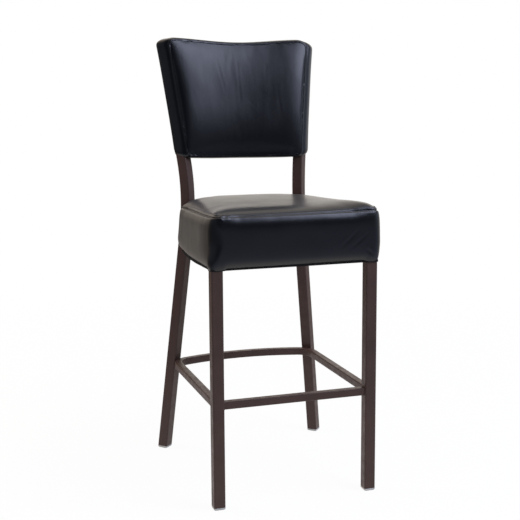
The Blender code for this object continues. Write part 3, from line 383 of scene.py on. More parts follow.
def seat_seam(y):
    return SEAM_LEVEL - SEAM_FALL * y / SEAT_REAR


# The seat's form
CORNER_REACH_SHARE = 0.92  # longest part of a side that a rounded corner takes


def round_corner(before, corner, after, radius, steps):
    """Points of the arc that rounds a corner of a plan outline."""
    a = (before - corner).normalized()
    b = (after - corner).normalized()
    half = a.angle(b) / 2
    reach = min(radius / math.tan(half), CORNER_REACH_SHARE * min((before - corner).length, (after - corner).length))
    radius = reach * math.tan(half)
    centre = corner + (a + b).normalized() * (radius / math.sin(half))
    start = corner + a * reach - centre
    end = corner + b * reach - centre
    turn = math.atan2(start.x * end.y - start.y * end.x, start.dot(end))
    return [centre + Matrix.Rotation(turn * i / steps, 2) @ start for i in range(steps + 1)]


def between(a, b, count):
    """The places that split a line into a number of steps, without its ends."""
    return [a.lerp(b, i / count) for i in range(1, count)]


# Steps along one half of the outline, from the middle of the front to the middle of the rear
FRONT_STEPS, CORNER_STEPS, SIDE_STEPS = 30, 10, 50
TO_TUBE_STEPS, TUBE_STEPS, BESIDE_STEPS, REAR_STEPS = 3, 4, 3, 18
FRONT_TURN = FRONT_STEPS + CORNER_STEPS // 2  # ring place in the middle of a front corner
SIDE_END = FRONT_STEPS + 2 * CORNER_STEPS + SIDE_STEPS  # ring place where the side corner ends
SIDE_TURN = SIDE_END - CORNER_STEPS // 2  # ring place in the middle of a rear side corner
TUBE_PLACE = SIDE_END + TO_TUBE_STEPS
TUBE_END = TUBE_PLACE + TUBE_STEPS
HALF_STEPS = TUBE_END + BESIDE_STEPS + REAR_STEPS


def side_draw(share):
    """How far the sides are drawn in at a share of their height."""
    down = (1 - share) * (SEAM_LEVEL - BOTTOM_LEVEL)
    roll = SHOULDER * max(1 - down / SHOULDER_HEIGHT, 0) ** SHOULDER_POWER
    return (SEAM_DRAW if share > 0.5 else BOTTOM_DRAW) * (2 * share - 1) ** SIDE_BOW_POWER + roll


def seat_plan(height, draw, tuck=0.0):
    """Plan outline of the seat at a height: points and outward directions, with the sides drawn in."""
    tube = rear_tube(height)
    middle = tube.xy
    half = LEG_TUBE / 2
    by_front = middle - AHEAD * (half + TUBE_CLEARANCE) + ACROSS * half
    by_inner = middle - AHEAD * (half + TUBE_CLEARANCE) - ACROSS * half
    front = Vector((0, -FRONT_OVERHANG))
    front_corner = Vector((FRONT_WIDTH / 2 + SIDE_OVERHANG, front.y))
    side_corner = Vector((middle.x + BEYOND_TUBE, by_front.y))
    rear_corner = Vector((by_inner.x, SEAT_REAR))
    rear = Vector((0, SEAT_REAR))
    share = part(height, BOTTOM_LEVEL, SEAM_LEVEL)
    puff = math.sin(math.pi * min(share / PUFF_HEIGHT, 1)) ** 2
    halves = []
    for radius in (FRONT_CORNER * (1 + CORNER_WIDENING * share), FRONT_CORNER + LEFT_PUFF * puff):
        first = round_corner(front, front_corner, side_corner, radius, CORNER_STEPS)
        second = round_corner(front_corner, side_corner, by_front, SIDE_CORNER, CORNER_STEPS)
        line = [front] + between(front, first[0], FRONT_STEPS) + first
        line += between(first[-1], second[0], SIDE_STEPS) + second
        for start, end, count in ((second[-1], by_front, TO_TUBE_STEPS), (by_front, by_inner, TUBE_STEPS),
                                  (by_inner, rear_corner, BESIDE_STEPS), (rear_corner, rear, REAR_STEPS)):
            line += between(start, end, count) + [end]
        halves.append(line)
    line, left = halves
    weights = []
    for i in range(len(line)):
        if i < SIDE_END:
            away = min(abs(i - FRONT_TURN), abs(i - SIDE_TURN)) / CORNER_STEPS
            full = min(away / DRAW_FADE, 1) ** DRAW_FADE_POWER
            weights.append(CORNER_DRAW_SHARE + (1 - CORNER_DRAW_SHARE) * full)
        else:
            weights.append(REAR_DRAW_SHARE * clamped((i - TUBE_END - BESIDE_STEPS) / REAR_DRAW_STEPS))
    loop = line + [Vector((-p.x, p.y)) for p in reversed(left[1:-1])]
    weights += weights[-2:0:-1]
    normals = []
    for i, point in enumerate(loop):
        ahead = (loop[(i + 1) % len(loop)] - point).normalized()
        behind = (point - loop[i - 1]).normalized()
        tangent = (ahead + behind).normalized()
        normals.append(Vector((tangent.y, -tangent.x)))
    drawn = [draw * weight + tuck * corner_share(i) for i, weight in enumerate(weights)]
    return [p - n * d for p, n, d in zip(loop, normals, drawn)], normals


def corner_share(i):
    """How much a place of the ring belongs to a rear side corner."""
    k = min(i, 2 * HALF_STEPS - i)
    away = (k - SIDE_TURN) / (CORNER_STEPS * (TUCK_BEHIND if k > SIDE_TURN else TUCK_AHEAD))
    return math.exp(-away * away) if k < TUBE_PLACE else 0.0


def crown_rise(x, y):
    """Height of the crown at a plan place."""
    ahead = y + FRONT_OVERHANG
    share = ahead / (SEAT_REAR + FRONT_OVERHANG)
    front_half = FRONT_WIDTH / 2 + SIDE_OVERHANG
    rear_half = rear_tube(seat_seam(SEAT_REAR)).x + BEYOND_TUBE
    u = min(abs(x) / (front_half + (rear_half - front_half) * share), 1)
    v = min(abs(2 * share - 1), 1)
    right = eased(part(x, *RIGHT_SIDE))
    rise = clamped((share - RISE_START - RIGHT_RISE_DELAY * right) / (RISE_LENGTH - RIGHT_RISE_CUT * right))
    front = FRONT_CROWN + RIGHT_LIFT * right
    crown = front + (REAR_CROWN - front) * eased(rise)
    if x > 0:
        crown *= 1 - RIGHT_FALL * rise * u * u
        crown += RIGHT_FULL * math.exp(-((x - front_half) ** 2 + ahead ** 2) / RIGHT_FULL_SPREAD)
    side_power = RIGHT_SIDE_POWER if x > 0 else LEFT_SIDE_POWER
    end_power = FRONT_POWER + RIGHT_FRONT_POWER * right if share < 0.5 else REAR_POWER
    return crown * math.sqrt((1 - u ** side_power) * (1 - v ** end_power))


def crossing(loop, centre, point):
    """How far a point lies on the way from a centre to the outline, as a share, and where that way meets it."""
    d = point - centre
    if d.length < 1e-6:
        return 0.0, loop[0]
    for a, b in zip(loop, loop[1:] + loop[:1]):
        e = b - a
        det = e.x * d.y - e.y * d.x
        if abs(det) < 1e-12:
            continue
        w = a - centre
        t = (e.x * w.y - e.y * w.x) / det
        s = (d.x * w.y - d.y * w.x) / det
        if t > 0 and -1e-6 <= s <= 1 + 1e-6:
            return 1 / t, a.lerp(b, clamped(s))
    return 1.0, point


def top_height(point, loop, centre):
    """Height of the seat's top over a plan place."""
    scale, edge = crossing(loop, centre, point)
    rise = crown_rise(point.x, point.y) - crown_rise(edge.x, edge.y) * min(scale, 1) ** EDGE_FADE_POWER
    return seat_seam(point.y) + rise


def four_sides(border, wide, deep):
    """The four sides of a closed border that starts at one corner, each from the low end up or across."""
    south = border[:wide + 1]
    east = border[wide:wide + deep + 1]
    north = border[wide + deep:2 * wide + deep + 1][::-1]
    west = ([border[0]] + border[:wide + deep + wide - 1:-1])[:deep + 1]
    return south, east, north, west


def patch_inside(border, wide, deep):
    """Places of a grid inside a closed border, row by row, without the border's own."""
    south, east, north, west = four_sides(border, wide, deep)
    places = []
    for j in range(1, deep):
        v = j / deep
        for i in range(1, wide):
            u = i / wide
            blend = south[i] * (1 - v) + north[i] * v + west[j] * (1 - u) + east[j] * u
            corners = (south[0] * (1 - u) + south[-1] * u) * (1 - v) + (north[0] * (1 - u) + north[-1] * u) * v
            places.append(blend - corners)
    return places


def patch_faces(ring, first_inner, wide, deep, flip=False):
    """Faces of a patch whose border is a ring and whose inner points follow from a number on."""
    south, east, north, west = four_sides(ring, wide, deep)
    rows = [south]
    for j in range(1, deep):
        number = first_inner + (j - 1) * (wide - 1)
        rows.append([west[j]] + list(range(number, number + wide - 1)) + [east[j]])
    rows.append(north)
    faces = []
    for low, high in zip(rows, rows[1:]):
        for i in range(wide):
            face = (low[i], low[i + 1], high[i + 1], high[i])
            faces.append(face[::-1] if flip else face)
    return faces


def band_faces(low, high):
    """Faces between two rings of as many points."""
    count = len(low)
    return [(low[i], low[(i + 1) % count], high[(i + 1) % count], high[i]) for i in range(count)]


def hem_room(point, normal):
    """How far the hem can be turned under at a place before it meets a front leg or the rear tube."""
    reach = 0.0
    half = LEG_TUBE / 2 + LEG_SLIT
    leg = Vector((FRONT_WIDTH / 2 - LEG_TUBE / 2, LEG_TUBE / 2))
    tube = rear_tube(REAR_BOTTOM)
    while reach < HEM:
        p = point - normal * (reach + ROOM_STEP)
        q = Vector((abs(p.x), p.y))
        if abs(q.x - leg.x) < half and abs(q.y - leg.y) < half:
            break
        r = q - tube.xy
        if abs(r.dot(ACROSS)) < half and abs(r.dot(AHEAD)) < half:
            break
        reach += ROOM_STEP
    return reach


# Rings of the boxing: distances under the seam and how far each is drawn in, then even ones, then the roll at the
# bottom, as heights over it and insets, and the hem turned under it, as shares of its room and heights
SEAM_ROWS = ((0.0, 0.0056), (0.0016, 0.0016), (0.0036, 0.0002), (0.0062, 0.0), (0.0096, 0.0), (0.0140, 0.0),
             (0.0196, 0.0))
EVEN_ROWS = 11
BOTTOM_ROWS = ((0.0215, 0.0), (0.0155, 0.0003), (0.0108, 0.0010), (0.0071, 0.0021), (0.0043, 0.0034),
               (0.0019, 0.0048), (0.0005, 0.0061), (ROLL_END, 0.0071))
HEM_ROWS = ((0.15, 0.0006), (0.5, 0.0), (1.0, 0.0))
RIM_ROWS = ((0.0024, 0.0002), (0.0046, 0.0), (0.0078, 0.0))  # rings of the top panel: how far in and how far sunk
SEAM_DROP = 0.0008  # how much lower the seam's own ring lies
FRONT_SEAM_CUT = 0.55  # share of the seam's depth that is missing across the front
FRONT_FACING = (0.3, 0.8)  # how far forward the boxing faces where that starts and where it is full


def seat_rows():
    """Rings of the seat's boxing from the seam down to the hem's edge."""
    count = 2 * HALF_STEPS
    lift = [RAIL_SLIT if TUBE_END - 1 <= min(i, count - i) <= TUBE_END + BESIDE_STEPS + 1 else 0.0
            for i in range(count)]
    side = seat_seam(0) - seat_bottom(0)
    even_start = SEAM_ROWS[-1][0]
    even = side - BOTTOM_ROWS[0][0] - even_start
    downs = list(SEAM_ROWS)
    downs += [(even_start + even * (i + 1) / EVEN_ROWS, 0.0) for i in range(EVEN_ROWS - 1)]
    downs += [(side - up, inset) for up, inset in BOTTOM_ROWS]
    bottom, outwards = seat_plan(REAR_BOTTOM, BOTTOM_DRAW, CORNER_TUCK)
    rooms = [0.0 if up else hem_room(p, n) for p, n, up in zip(bottom, outwards, lift)]
    roll = BOTTOM_ROWS[-1][1]
    rings = []
    for down, inset in downs:
        share = 1 - down / side
        low_share = max(1 - share / TUCK_HEIGHT, 0) ** 2
        height = REAR_BOTTOM + (seat_seam(SEAT_REAR) - REAR_BOTTOM) * share
        plan, normals = seat_plan(height, side_draw(share), CORNER_TUCK * low_share)
        ring = []
        for i, (p, n) in enumerate(zip(plan, normals)):
            local = share * (1 - lift[i] / side) + lift[i] / side
            q = p - n * (min(inset, rooms[i] * inset / roll) if down > even_start else inset * seam_depth(n))
            z = seat_bottom(p.y) + (seat_seam(p.y) - seat_bottom(p.y)) * local - leg_tab(q, side - down)
            ring.append(Vector((q.x, q.y, z + CORNER_LIFT * low_share * corner_share(i))))
        rings.append(ring)
    for share, rise in HEM_ROWS:
        ring = []
        for i, (p, n) in enumerate(zip(bottom, outwards)):
            q = p - n * (min(roll, rooms[i]) + max(rooms[i] - roll, 0) * share)
            z = seat_bottom(p.y) + lift[i] + rise - leg_tab(q, 0.0)
            ring.append(Vector((q.x, q.y, z + CORNER_LIFT * corner_share(i))))
        rings.append(ring)
    for ring in rings:
        for q in ring:
            q.x += corner_shift(q)
    return rings


def seam_depth(normal):
    """Share of the seam's depth: shallow across the front, full along the sides."""
    return 1 - FRONT_SEAM_CUT * part(-normal.y, *FRONT_FACING)


def leg_tab(q, up):
    """How much lower the cover hangs at a place over a front leg, at a height over the hem."""
    beside = clamped((abs(q.x) - FRONT_WIDTH / 2 + LEG_TUBE + LEG_TAB_MARGIN) / LEG_TAB_EDGE)
    before = clamped((LEG_TUBE + LEG_TAB_REAR - q.y) / LEG_TAB_REAR)
    return LEG_TAB * beside * before * max(1 - up / LEG_TAB_HEIGHT, 0) ** LEG_TAB_POWER


def corner_shift(q):
    """How far a place of the seat's cover moves to the right: slack at the front left, full at the front right."""
    share = (q.z - seat_bottom(q.y)) / (seat_seam(q.y) - seat_bottom(q.y))
    if q.x > 0:
        near = math.exp(-((q.y + FRONT_OVERHANG) / RIGHT_SWELL_LENGTH) ** 2)
        return RIGHT_SWELL * near * part(share, *RIGHT_SWELL_RISE) * part(q.x, *RIGHT_SWELL_SIDE)
    near = max(1 - (q.y + FRONT_OVERHANG) / LEFT_SLACK_LENGTH, 0) ** LEFT_SLACK_POWER
    high = eased(part(share, *LEFT_SLACK_RISE))
    return LEFT_SLACK * near * part(q.x, *LEFT_SLACK_SIDE) * (LEFT_SLACK_LEAST + (1 - LEFT_SLACK_LEAST) * high)


def seat_shell():
    """The seat's cover as a sheet: boxing and hem below the seam, the crowned panel above it."""
    rows = seat_rows()
    seam = rows[0]
    centre = Vector((0, SEAT_REAR / 2))
    outline, normals = seat_plan(seat_seam(SEAT_REAR), side_draw(1.0))
    rims = []
    for inset, sink in RIM_ROWS:
        ring = []
        for p, n in zip(outline, normals):
            q = p - n * inset
            place = Vector((q.x, q.y, top_height(q, outline, centre) - sink))
            place.x += corner_shift(place)
            ring.append(place)
        rims.append(ring)
    for p in seam:
        p.z -= SEAM_DROP
    start = -FRONT_TURN % (2 * HALF_STEPS)
    border = [p.xy for p in rims[-1]]
    wide, deep = 2 * FRONT_TURN, HALF_STEPS - 2 * FRONT_TURN
    inner = patch_inside(border[start:] + border[:start], wide, deep)
    points, faces, rings = [], [], []
    for ring in rows[::-1] + rims:
        rings.append(list(range(len(points), len(points) + len(ring))))
        points += ring
    for low, high in zip(rings, rings[1:]):
        faces += band_faces(low, high)
    faces += patch_faces(rings[-1][start:] + rings[-1][:start], len(points), wide, deep)
    points += [Vector((p.x, p.y, top_height(p, outline, centre))) for p in inner]
    for p in points:
        p.y += FRONT
    item = mesh_object("seat_cushion", points, faces)
    held = {i: 1.0 for ring in rings[:len(BOTTOM_ROWS) + len(HEM_ROWS)] for i in ring}
    held.update({i: SEAM_HOLD for i in rings[len(rows) - 1]})
    return item, held, [p.copy() for p in seam]


CLOTH = {"quality": 5, "mass": 0.3, "tension_stiffness": 25, "compression_stiffness": 25, "shear_stiffness": 12,
         "bending_stiffness": 0.6, "use_pressure": True, "uniform_pressure_force": 4.0, "vertex_group_mass": "held"}
SEAT_LOOSENESS = 0.006  # share by which a cover is cut larger than its filling
BACK_LOOSENESS = 0.001
SEAT_RIPPLE = (0.055, 0.0003)  # size and depth of the slow unevenness
BACK_RIPPLE = (0.060, 0.0002)
BAND_RIPPLE = (0.030, 0.0004)


def settle(item, held, room, looseness, frames):
    """Lets a cover settle over its filling: it is blown up a little, and no point moves past the room it has."""
    rest = [v.co.copy() for v in item.data.vertices]
    group = item.vertex_groups.new(name="held")
    for i, weight in held.items():
        group.add([i], weight, "REPLACE")
    alone(item)
    change = item.modifiers.new("Settle", "CLOTH")
    for key, value in CLOTH.items():
        setattr(change.settings, key, value)
    change.settings.shrink_min = -looseness
    change.settings.effector_weights.gravity = 0
    change.point_cache.frame_start = 1
    change.point_cache.frame_end = frames
    scene = bpy.context.scene
    for step in range(1, frames + 1):
        scene.frame_set(step)
    bpy.ops.object.modifier_apply(modifier=change.name)
    scene.frame_set(1)
    for v, before in zip(item.data.vertices, rest):
        move = v.co - before
        v.co = before + move * (room / (room + move.length))
    item.vertex_groups.clear()


CREASE_REACH = 4  # half widths beside a crease that it still moves
LIP_PLACE = 1.8  # half widths from a crease to its lip
LIP_SHARE = 0.45  # height of the lip over the depth
CREASE_FADE = (0.08, 0.92)  # parts of half a wave that its depth follows from end to end


def crease(item, lines):
    """Presses creases into a cover: each has its ends, its half width and its depth, with a soft lip beside it."""
    mesh = item.data
    normals = [v.normal.copy() for v in mesh.vertices]
    for start, end, width, depth in lines:
        a, b = Vector(start), Vector(end)
        d = b - a
        far = d.length + CREASE_REACH * width
        for v, n in zip(mesh.vertices, normals):
            if (v.co - a).length > far and (v.co - b).length > far:
                continue
            t = clamped((v.co - a).dot(d) / d.length_squared)
            away = (v.co - a - d * t).length / width
            if away < CREASE_REACH:
                fade = math.sin(math.pi * (CREASE_FADE[0] + (CREASE_FADE[1] - CREASE_FADE[0]) * t))
                lip = LIP_SHARE * math.exp(-(away - LIP_PLACE) ** 2)
                v.co += n * (depth * fade * (lip - math.exp(-away * away)))


def ripple(item, size, depth):
    """Slow unevenness of a filled cover."""
    mesh = item.data
    normals = [v.normal.copy() for v in mesh.vertices]
    for v, n in zip(mesh.vertices, normals):
        v.co += n * (depth * noise.noise(v.co / size))


# The back's form: places across run from -1 on the left tube to 1 on the right one, and places up from 0 to 1

def back_place(across, up, behind):
    """A place of the back, so far behind the line of the tubes, which it bends round between them."""
    side = min(abs(across), 1)
    if side < SHOULDER_START:
        dip = TOP_DIP * (1 - (side / SHOULDER_START) ** 2) ** 2
    else:
        fall = ((side - SHOULDER_START) / (1 - SHOULDER_START)) ** 2
        dip = TOP_SHOULDER * fall * (RIGHT_SHOULDER if across > 0 else 1.0)
    height = BACK_BOTTOM + (BACK_HEIGHT - dip) * up - BOTTOM_SAG * (1 - side ** 4) * (1 - up) ** 3
    height += BACK_RISE * up - BACK_TILT * across
    tube = rear_tube(height)
    return Vector((across * tube.x, tube.y + HOLLOW * (1 - across ** 2) + behind, height))


def swell(across, up):
    """Share of the front panel's fullness at a place."""
    across_power = SWELL_RIGHT_POWER if across > 0 else SWELL_LEFT_POWER
    up_power = SWELL_LOW_POWER if up < 0.5 else SWELL_HIGH_POWER
    return (1 - abs(across) ** across_power) * (1 - abs(2 * up - 1) ** up_power)


def front_face(across, up, inset=0.0):
    """A place on the back's front panel, which rolls over to its seam at the sides and the bottom."""
    reach = HALF_DIAGONAL + FRONT_PAD
    side = (1 - abs(across)) * rear_tube(BACK_BOTTOM + BACK_HEIGHT * up).x
    edge = min(side * (LEFT_ROLL_STEEPNESS if across < 0 else 1.0), up * BACK_HEIGHT, EDGE_ROLL_WIDTH)
    rolled = 1 - max(1 - edge / EDGE_ROLL_WIDTH, 0) ** 3
    roll = EDGE_ROLL * (1 - RIGHT_ROLL_CUT * max(across, 0) ** 2) * rolled
    place = back_place(across, up, inset - reach - roll - SWELL * swell(across, up))
    place.x += LEFT_SEAM_SHIFT * max(-across, 0) ** 6
    return place


def rear_face(across, up, inset=0.0):
    """A place on the back's rear panel."""
    return back_place(across, up, HALF_DIAGONAL + REAR_PAD - inset)


BACK_WIDE, BACK_DEEP, BACK_CORNER_STEPS = 60, 46, 4


def back_seam(margin=0.0):
    """Places round the back's seam, from the middle of its lower left corner, each with its outward direction."""
    top_x = rear_tube(BACK_BOTTOM + BACK_HEIGHT).x
    wide = 1 - margin / top_x
    low, high = margin / BACK_HEIGHT, 1 - margin / BACK_HEIGHT
    round_x, round_z = BACK_CORNER / top_x, BACK_CORNER / BACK_HEIGHT
    corners = ((wide, low, -1, 1), (wide, high, 0, -1), (-wide, high, 1, -1), (-wide, low, 2, 1))
    counts = (BACK_DEEP - BACK_CORNER_STEPS, BACK_WIDE - BACK_CORNER_STEPS) * 2
    arcs = []
    for across, up, quarter, into in corners:
        centre_x = across - math.copysign(round_x, across)
        centre_z = up + into * round_z
        arc = []
        for step in range(BACK_CORNER_STEPS + 1):
            angle = (quarter + step / BACK_CORNER_STEPS) * math.pi / 2
            arc.append((centre_x + round_x * math.cos(angle), centre_z + round_z * math.sin(angle),
                        math.cos(angle), math.sin(angle)))
        arcs.append(arc)
    places = []
    for arc, following, count in zip(arcs, arcs[1:] + arcs[:1], counts):
        places += arc
        start, end = arc[-1], following[0]
        for step in range(1, count):
            places.append(tuple(a + (b - a) * step / count for a, b in zip(start, end)))
    turn = BACK_CORNER_STEPS // 2 + len(places) - BACK_WIDE
    return places[turn:] + places[:turn]


# Rings of the back's band: places from the front seam to the rear one, shares of the band's fullness, and depths in
# the seams
BAND_ROWS = ((0.0, 0.0, 0.0022), (0.035, 0.30, 0.0008), (0.085, 0.46, 0.0), (0.15, 0.60, 0.0), (0.24, 0.75, 0.0),
             (0.36, 0.90, 0.0), (0.50, 1.0, 0.0), (0.64, 0.90, 0.0), (0.76, 0.75, 0.0), (0.85, 0.60, 0.0),
             (0.915, 0.46, 0.0), (0.965, 0.30, 0.0010), (1.0, 0.0, 0.0026))
BACK_RIMS = (0.0060, 0.0030, 0.0012)  # rings of the panels beside their seams: how far in
TOP_SEAM_DEPTH = 0.25  # share of a seam's depth along the top and the bottom


def back_shell():
    """The back's cover as a closed sheet: front panel, band and rear panel."""
    seam = back_seam()
    side = HALF_DIAGONAL + SIDE_MARGIN
    points, faces, rings = [], [], []

    def add(ring):
        rings.append(list(range(len(points), len(points) + len(ring))))
        points.extend(ring)

    rims = [[(x, z) for x, z, _, _ in back_seam(margin)] for margin in BACK_RIMS]
    for rim in rims:
        add([front_face(x, z) for x, z in rim])
    for depth, proud, sunk in BAND_ROWS:
        ring = []
        for across, up, out_x, out_z in seam:
            point = front_face(across, up, SEAM_SINK).lerp(rear_face(across, up, SEAM_SINK), depth)
            dent = sunk * (TOP_SEAM_DEPTH + (1 - TOP_SEAM_DEPTH) * out_x * out_x)
            over = TOP_PROUD if out_z > 0 else EDGE_PROUD
            ring.append(point + Vector(((side * proud - dent) * out_x, 0, (over * proud - dent) * out_z)))
        add(ring)
    for rim in rims[::-1]:
        add([rear_face(x, z) for x, z in rim])
    for low, high in zip(rings, rings[1:]):
        faces += band_faces(low, high)
    inner = patch_inside([Vector(place) for place in rims[0]], BACK_WIDE, BACK_DEEP)
    for ring, face, flip in ((rings[0], front_face, False), (rings[-1], rear_face, True)):
        faces += patch_faces(ring, len(points), BACK_WIDE, BACK_DEEP, flip)
        points += [face(p.x, p.y) for p in inner]
    for p in points:
        p.y += FRONT
    item = mesh_object("back_cushion", points, faces)
    seam_rings = (rings[len(BACK_RIMS)], rings[-1 - len(BACK_RIMS)])
    held = {i: SEAM_HOLD for ring in seam_rings for i in ring}
    seams = [[points[i].copy() for i in ring] for ring in seam_rings]
    return item, held, seams


def open_round_tubes(item):
    """Opens the bottom of the back where the rear tubes enter it, and draws the opening's rim up to the tube."""
    mesh = bmesh.new()
    mesh.from_mesh(item.data)
    half = LEG_TUBE / 2 + TUBE_OPENING

    def local(co):
        tube = rear_tube(co.z)
        side = 1 if co.x > 0 else -1
        d = Vector((abs(co.x) - tube.x, co.y - FRONT - tube.y))
        return side, d.dot(ACROSS), d.dot(AHEAD)

    doomed = []
    for face in mesh.faces:
        middle = face.calc_center_median()
        if middle.z > BACK_BOTTOM + OPENING_HEIGHT:
            continue
        _, a, b = local(middle)
        if abs(a) < half and abs(b) < half:
            doomed.append(face)
    rim = {v for face in doomed for v in face.verts}
    bmesh.ops.delete(mesh, geom=doomed, context="FACES")
    rim = [v for v in rim if v.is_valid]
    for v in rim:
        side, a, b = local(v.co)
        big = max(abs(a), abs(b), 1e-6)
        a, b = a * half / big, b * half / big
        tube = rear_tube(v.co.z)
        d = ACROSS * a + AHEAD * b
        v.co.x = side * (tube.x + d.x)
        v.co.y = FRONT + tube.y + d.y
    mesh.to_mesh(item.data)
    mesh.free()
    item.data.update()


# Materials

class Nodes:
    """A node tree, with short ways to add and join its nodes."""

    def __init__(self, tree):
        self.tree = tree

    def feed(self, socket, value):
        """Joins another node's output to a socket, or sets the socket's own value."""
        if isinstance(value, bpy.types.NodeSocket):
            self.tree.links.new(value, socket)
        else:
            socket.default_value = (*value, 1) if socket.type == "RGBA" else value

    def node(self, kind, **sockets):
        made = self.tree.nodes.new(kind)
        for name, value in sockets.items():
            self.feed(made.inputs[name.replace("_", " ")], value)
        return made

    def counted(self, operation, a, b):
        made = self.node("ShaderNodeMath")
        made.operation = operation
        self.feed(made.inputs[0], a)
        self.feed(made.inputs[1], b)
        return made.outputs[0]

    def ranged(self, value, start, end, low, high, smooth=True):
        """Goes from low to high while a value goes from start to end."""
        made = self.node("ShaderNodeMapRange", Value=value, From_Min=start, From_Max=end, To_Min=low, To_Max=high)
        made.interpolation_type = "SMOOTHSTEP" if smooth else "LINEAR"
        return made.outputs["Result"]

    def mixed(self, share, a, b):
        return self.ranged(share, 0, 1, a, b, smooth=False)

    def tinted(self, share, a, b):
        return self.node("ShaderNodeMixRGB", Fac=share, Color1=a, Color2=b).outputs["Color"]


class Finish(Nodes):
    """A new material."""

    def __init__(self, name, colour, roughness, metallic=0.0):
        self.material = bpy.data.materials.new(name)
        self.material.use_nodes = True
        self.material.diffuse_color = (*colour, 1)
        super().__init__(self.material.node_tree)
        self.shader = self.tree.nodes["Principled BSDF"]
        self.shade(Base_Color=colour, Roughness=roughness, Metallic=metallic)
        self.place = self.node("ShaderNodeTexCoord").outputs["Object"]

    def shade(self, **sockets):
        """Sets or feeds the shader's own sockets."""
        for name, value in sockets.items():
            self.feed(self.shader.inputs[name.replace("_", " ")], value)

    def stretched(self, scale):
        return self.node("ShaderNodeMapping", Vector=self.place, Scale=scale).outputs["Vector"]

    def noise(self, scale, detail=3.0, roughness=0.5, vector=None):
        return self.node("ShaderNodeTexNoise", Vector=vector or self.place, Scale=scale, Detail=detail,
                         Roughness=roughness).outputs["Fac"]

    def ramp(self, value, *stops):
        """Base colour that follows a value through stops of position and colour."""
        made = self.node("ShaderNodeValToRGB", Fac=value)
        elements = made.color_ramp.elements
        elements[0].position, elements[0].color = stops[0][0], (*stops[0][1], 1)
        elements[1].position, elements[1].color = stops[-1][0], (*stops[-1][1], 1)
        for position, colour in stops[1:-1]:
            elements.new(position).color = (*colour, 1)
        self.shade(Base_Color=made.outputs["Color"])

    def toned(self, value, colour, start, dark, end, pale):
        """Base colour that goes from a darker to a paler shade of one colour."""
        self.ramp(value, (start, [min(c * dark, 1) for c in colour]), (end, [min(c * pale, 1) for c in colour]))

    def rough(self, value, smoothest, roughest, start=0.3, end=0.7):
        self.shade(Roughness=self.ranged(value, start, end, smoothest, roughest))

    def bump(self, *layers, start=None):
        """Layers of height, strength and distance, one on the other."""
        normal = start
        for height, strength, distance in layers:
            made = self.node("ShaderNodeBump", Height=height, Strength=strength, Distance=distance)
            if normal:
                self.feed(made.inputs["Normal"], normal)
            normal = made.outputs["Normal"]
        self.shade(Normal=normal)


def vinyl_finish(look):
    """Black vinyl with a fine grain, soft unevenness and a satin top coat."""
    made = Finish("Satin vinyl", look.vinyl, look.gloss)
    made.toned(made.noise(9.0, 4.0), look.vinyl, 0.30, 0.86, 0.72, 1.22)
    made.rough(made.noise(12.0, 2.0), look.gloss - 0.02, look.gloss + 0.03, 0.2, 0.8)
    made.shade(Sheen_Weight=0.09, Sheen_Roughness=0.4)
    grain = made.node("ShaderNodeTexVoronoi", Vector=made.place, Scale=900.0)
    slow = made.noise(30.0, 2.0, 0.4, made.stretched((1.0, 1.0, 0.35)))
    made.bump((slow, 0.16, 0.0030), (made.noise(210.0, 2.0), 0.05, 0.0004),
              (grain.outputs["Distance"], 0.05, 0.00010))
    return made.material


def paint_finish(look):
    """Satin powder coat with a fine orange peel, rounded over the edges of the tube."""
    made = Finish("Powder coat", look.paint, look.paint_roughness)
    made.shade(IOR=1.42)
    made.toned(made.noise(14.0, 5.0), look.paint, 0.28, 0.90, 0.74, 1.16)
    made.rough(made.noise(60.0, 3.0), look.paint_roughness - 0.05, look.paint_roughness + 0.07)
    edge = made.node("ShaderNodeBevel", Radius=0.0018)
    edge.samples = 6
    made.bump((made.noise(750.0, 2.0), 0.16, 0.00010), (made.noise(2400.0, 1.0), 0.10, 0.00003),
              start=edge.outputs["Normal"])
    return made.material


def plain_finishes():
    """Finishes of the small and hidden parts, by the name of the part's own material."""
    glide = Finish("Grey glide plastic", (0.56, 0.56, 0.55), 0.42)
    glide.ramp(glide.noise(120.0, 4.0), (0.3, (0.50, 0.50, 0.49)), (0.7, (0.62, 0.62, 0.61)))
    glide.bump((glide.noise(900.0, 2.0), 0.25, 0.00006))
    wood = Finish("Birch plywood", (0.62, 0.46, 0.28), 0.62)
    grain = wood.noise(22.0, 6.0, 0.62, wood.stretched((1.0, 7.0, 60.0)))
    wood.ramp(grain, (0.30, (0.50, 0.35, 0.20)), (0.52, (0.64, 0.48, 0.30)), (0.75, (0.72, 0.57, 0.38)))
    wood.bump((grain, 0.25, 0.0003))
    steel = Finish("Zinc plated steel", (0.62, 0.62, 0.60), 0.34, 1.0)
    steel.ramp(steel.noise(300.0, 4.0), (0.3, (0.52, 0.53, 0.53)), (0.7, (0.70, 0.70, 0.67)))
    steel.rough(steel.noise(180.0), 0.26, 0.44)
    steel.bump((steel.noise(1500.0), 0.15, 0.00004))
    cloth = Finish("Black dust cloth", (0.012, 0.012, 0.013), 0.92)
    fibres = cloth.noise(650.0, 4.0, 0.7, cloth.stretched((1.0, 1.0, 0.2)))
    cloth.ramp(fibres, (0.35, (0.007, 0.007, 0.008)), (0.70, (0.024, 0.024, 0.025)))
    cloth.bump((fibres, 0.5, 0.0003))
    foam = Finish("Foam", (0.80, 0.73, 0.52), 0.95)
    foam.bump((foam.noise(700.0, 3.0), 0.6, 0.0006))
    return {"glide_plastic": glide.material, "plywood": wood.material, "zinc_steel": steel.material,
            "dust_cloth": cloth.material, "foam": foam.material}


def thread_finish(look):
    """Twisted thread, whose pale bluish colour is partly a painted highlight."""
    made = Finish("Sewing thread", look.thread, 0.55)
    twist = made.noise(2600.0, 2.0)
    made.toned(twist, look.thread, 0.3, 0.7, 0.7, 1.4)
    made.bump((twist, 0.4, 0.0001))
    return made.material


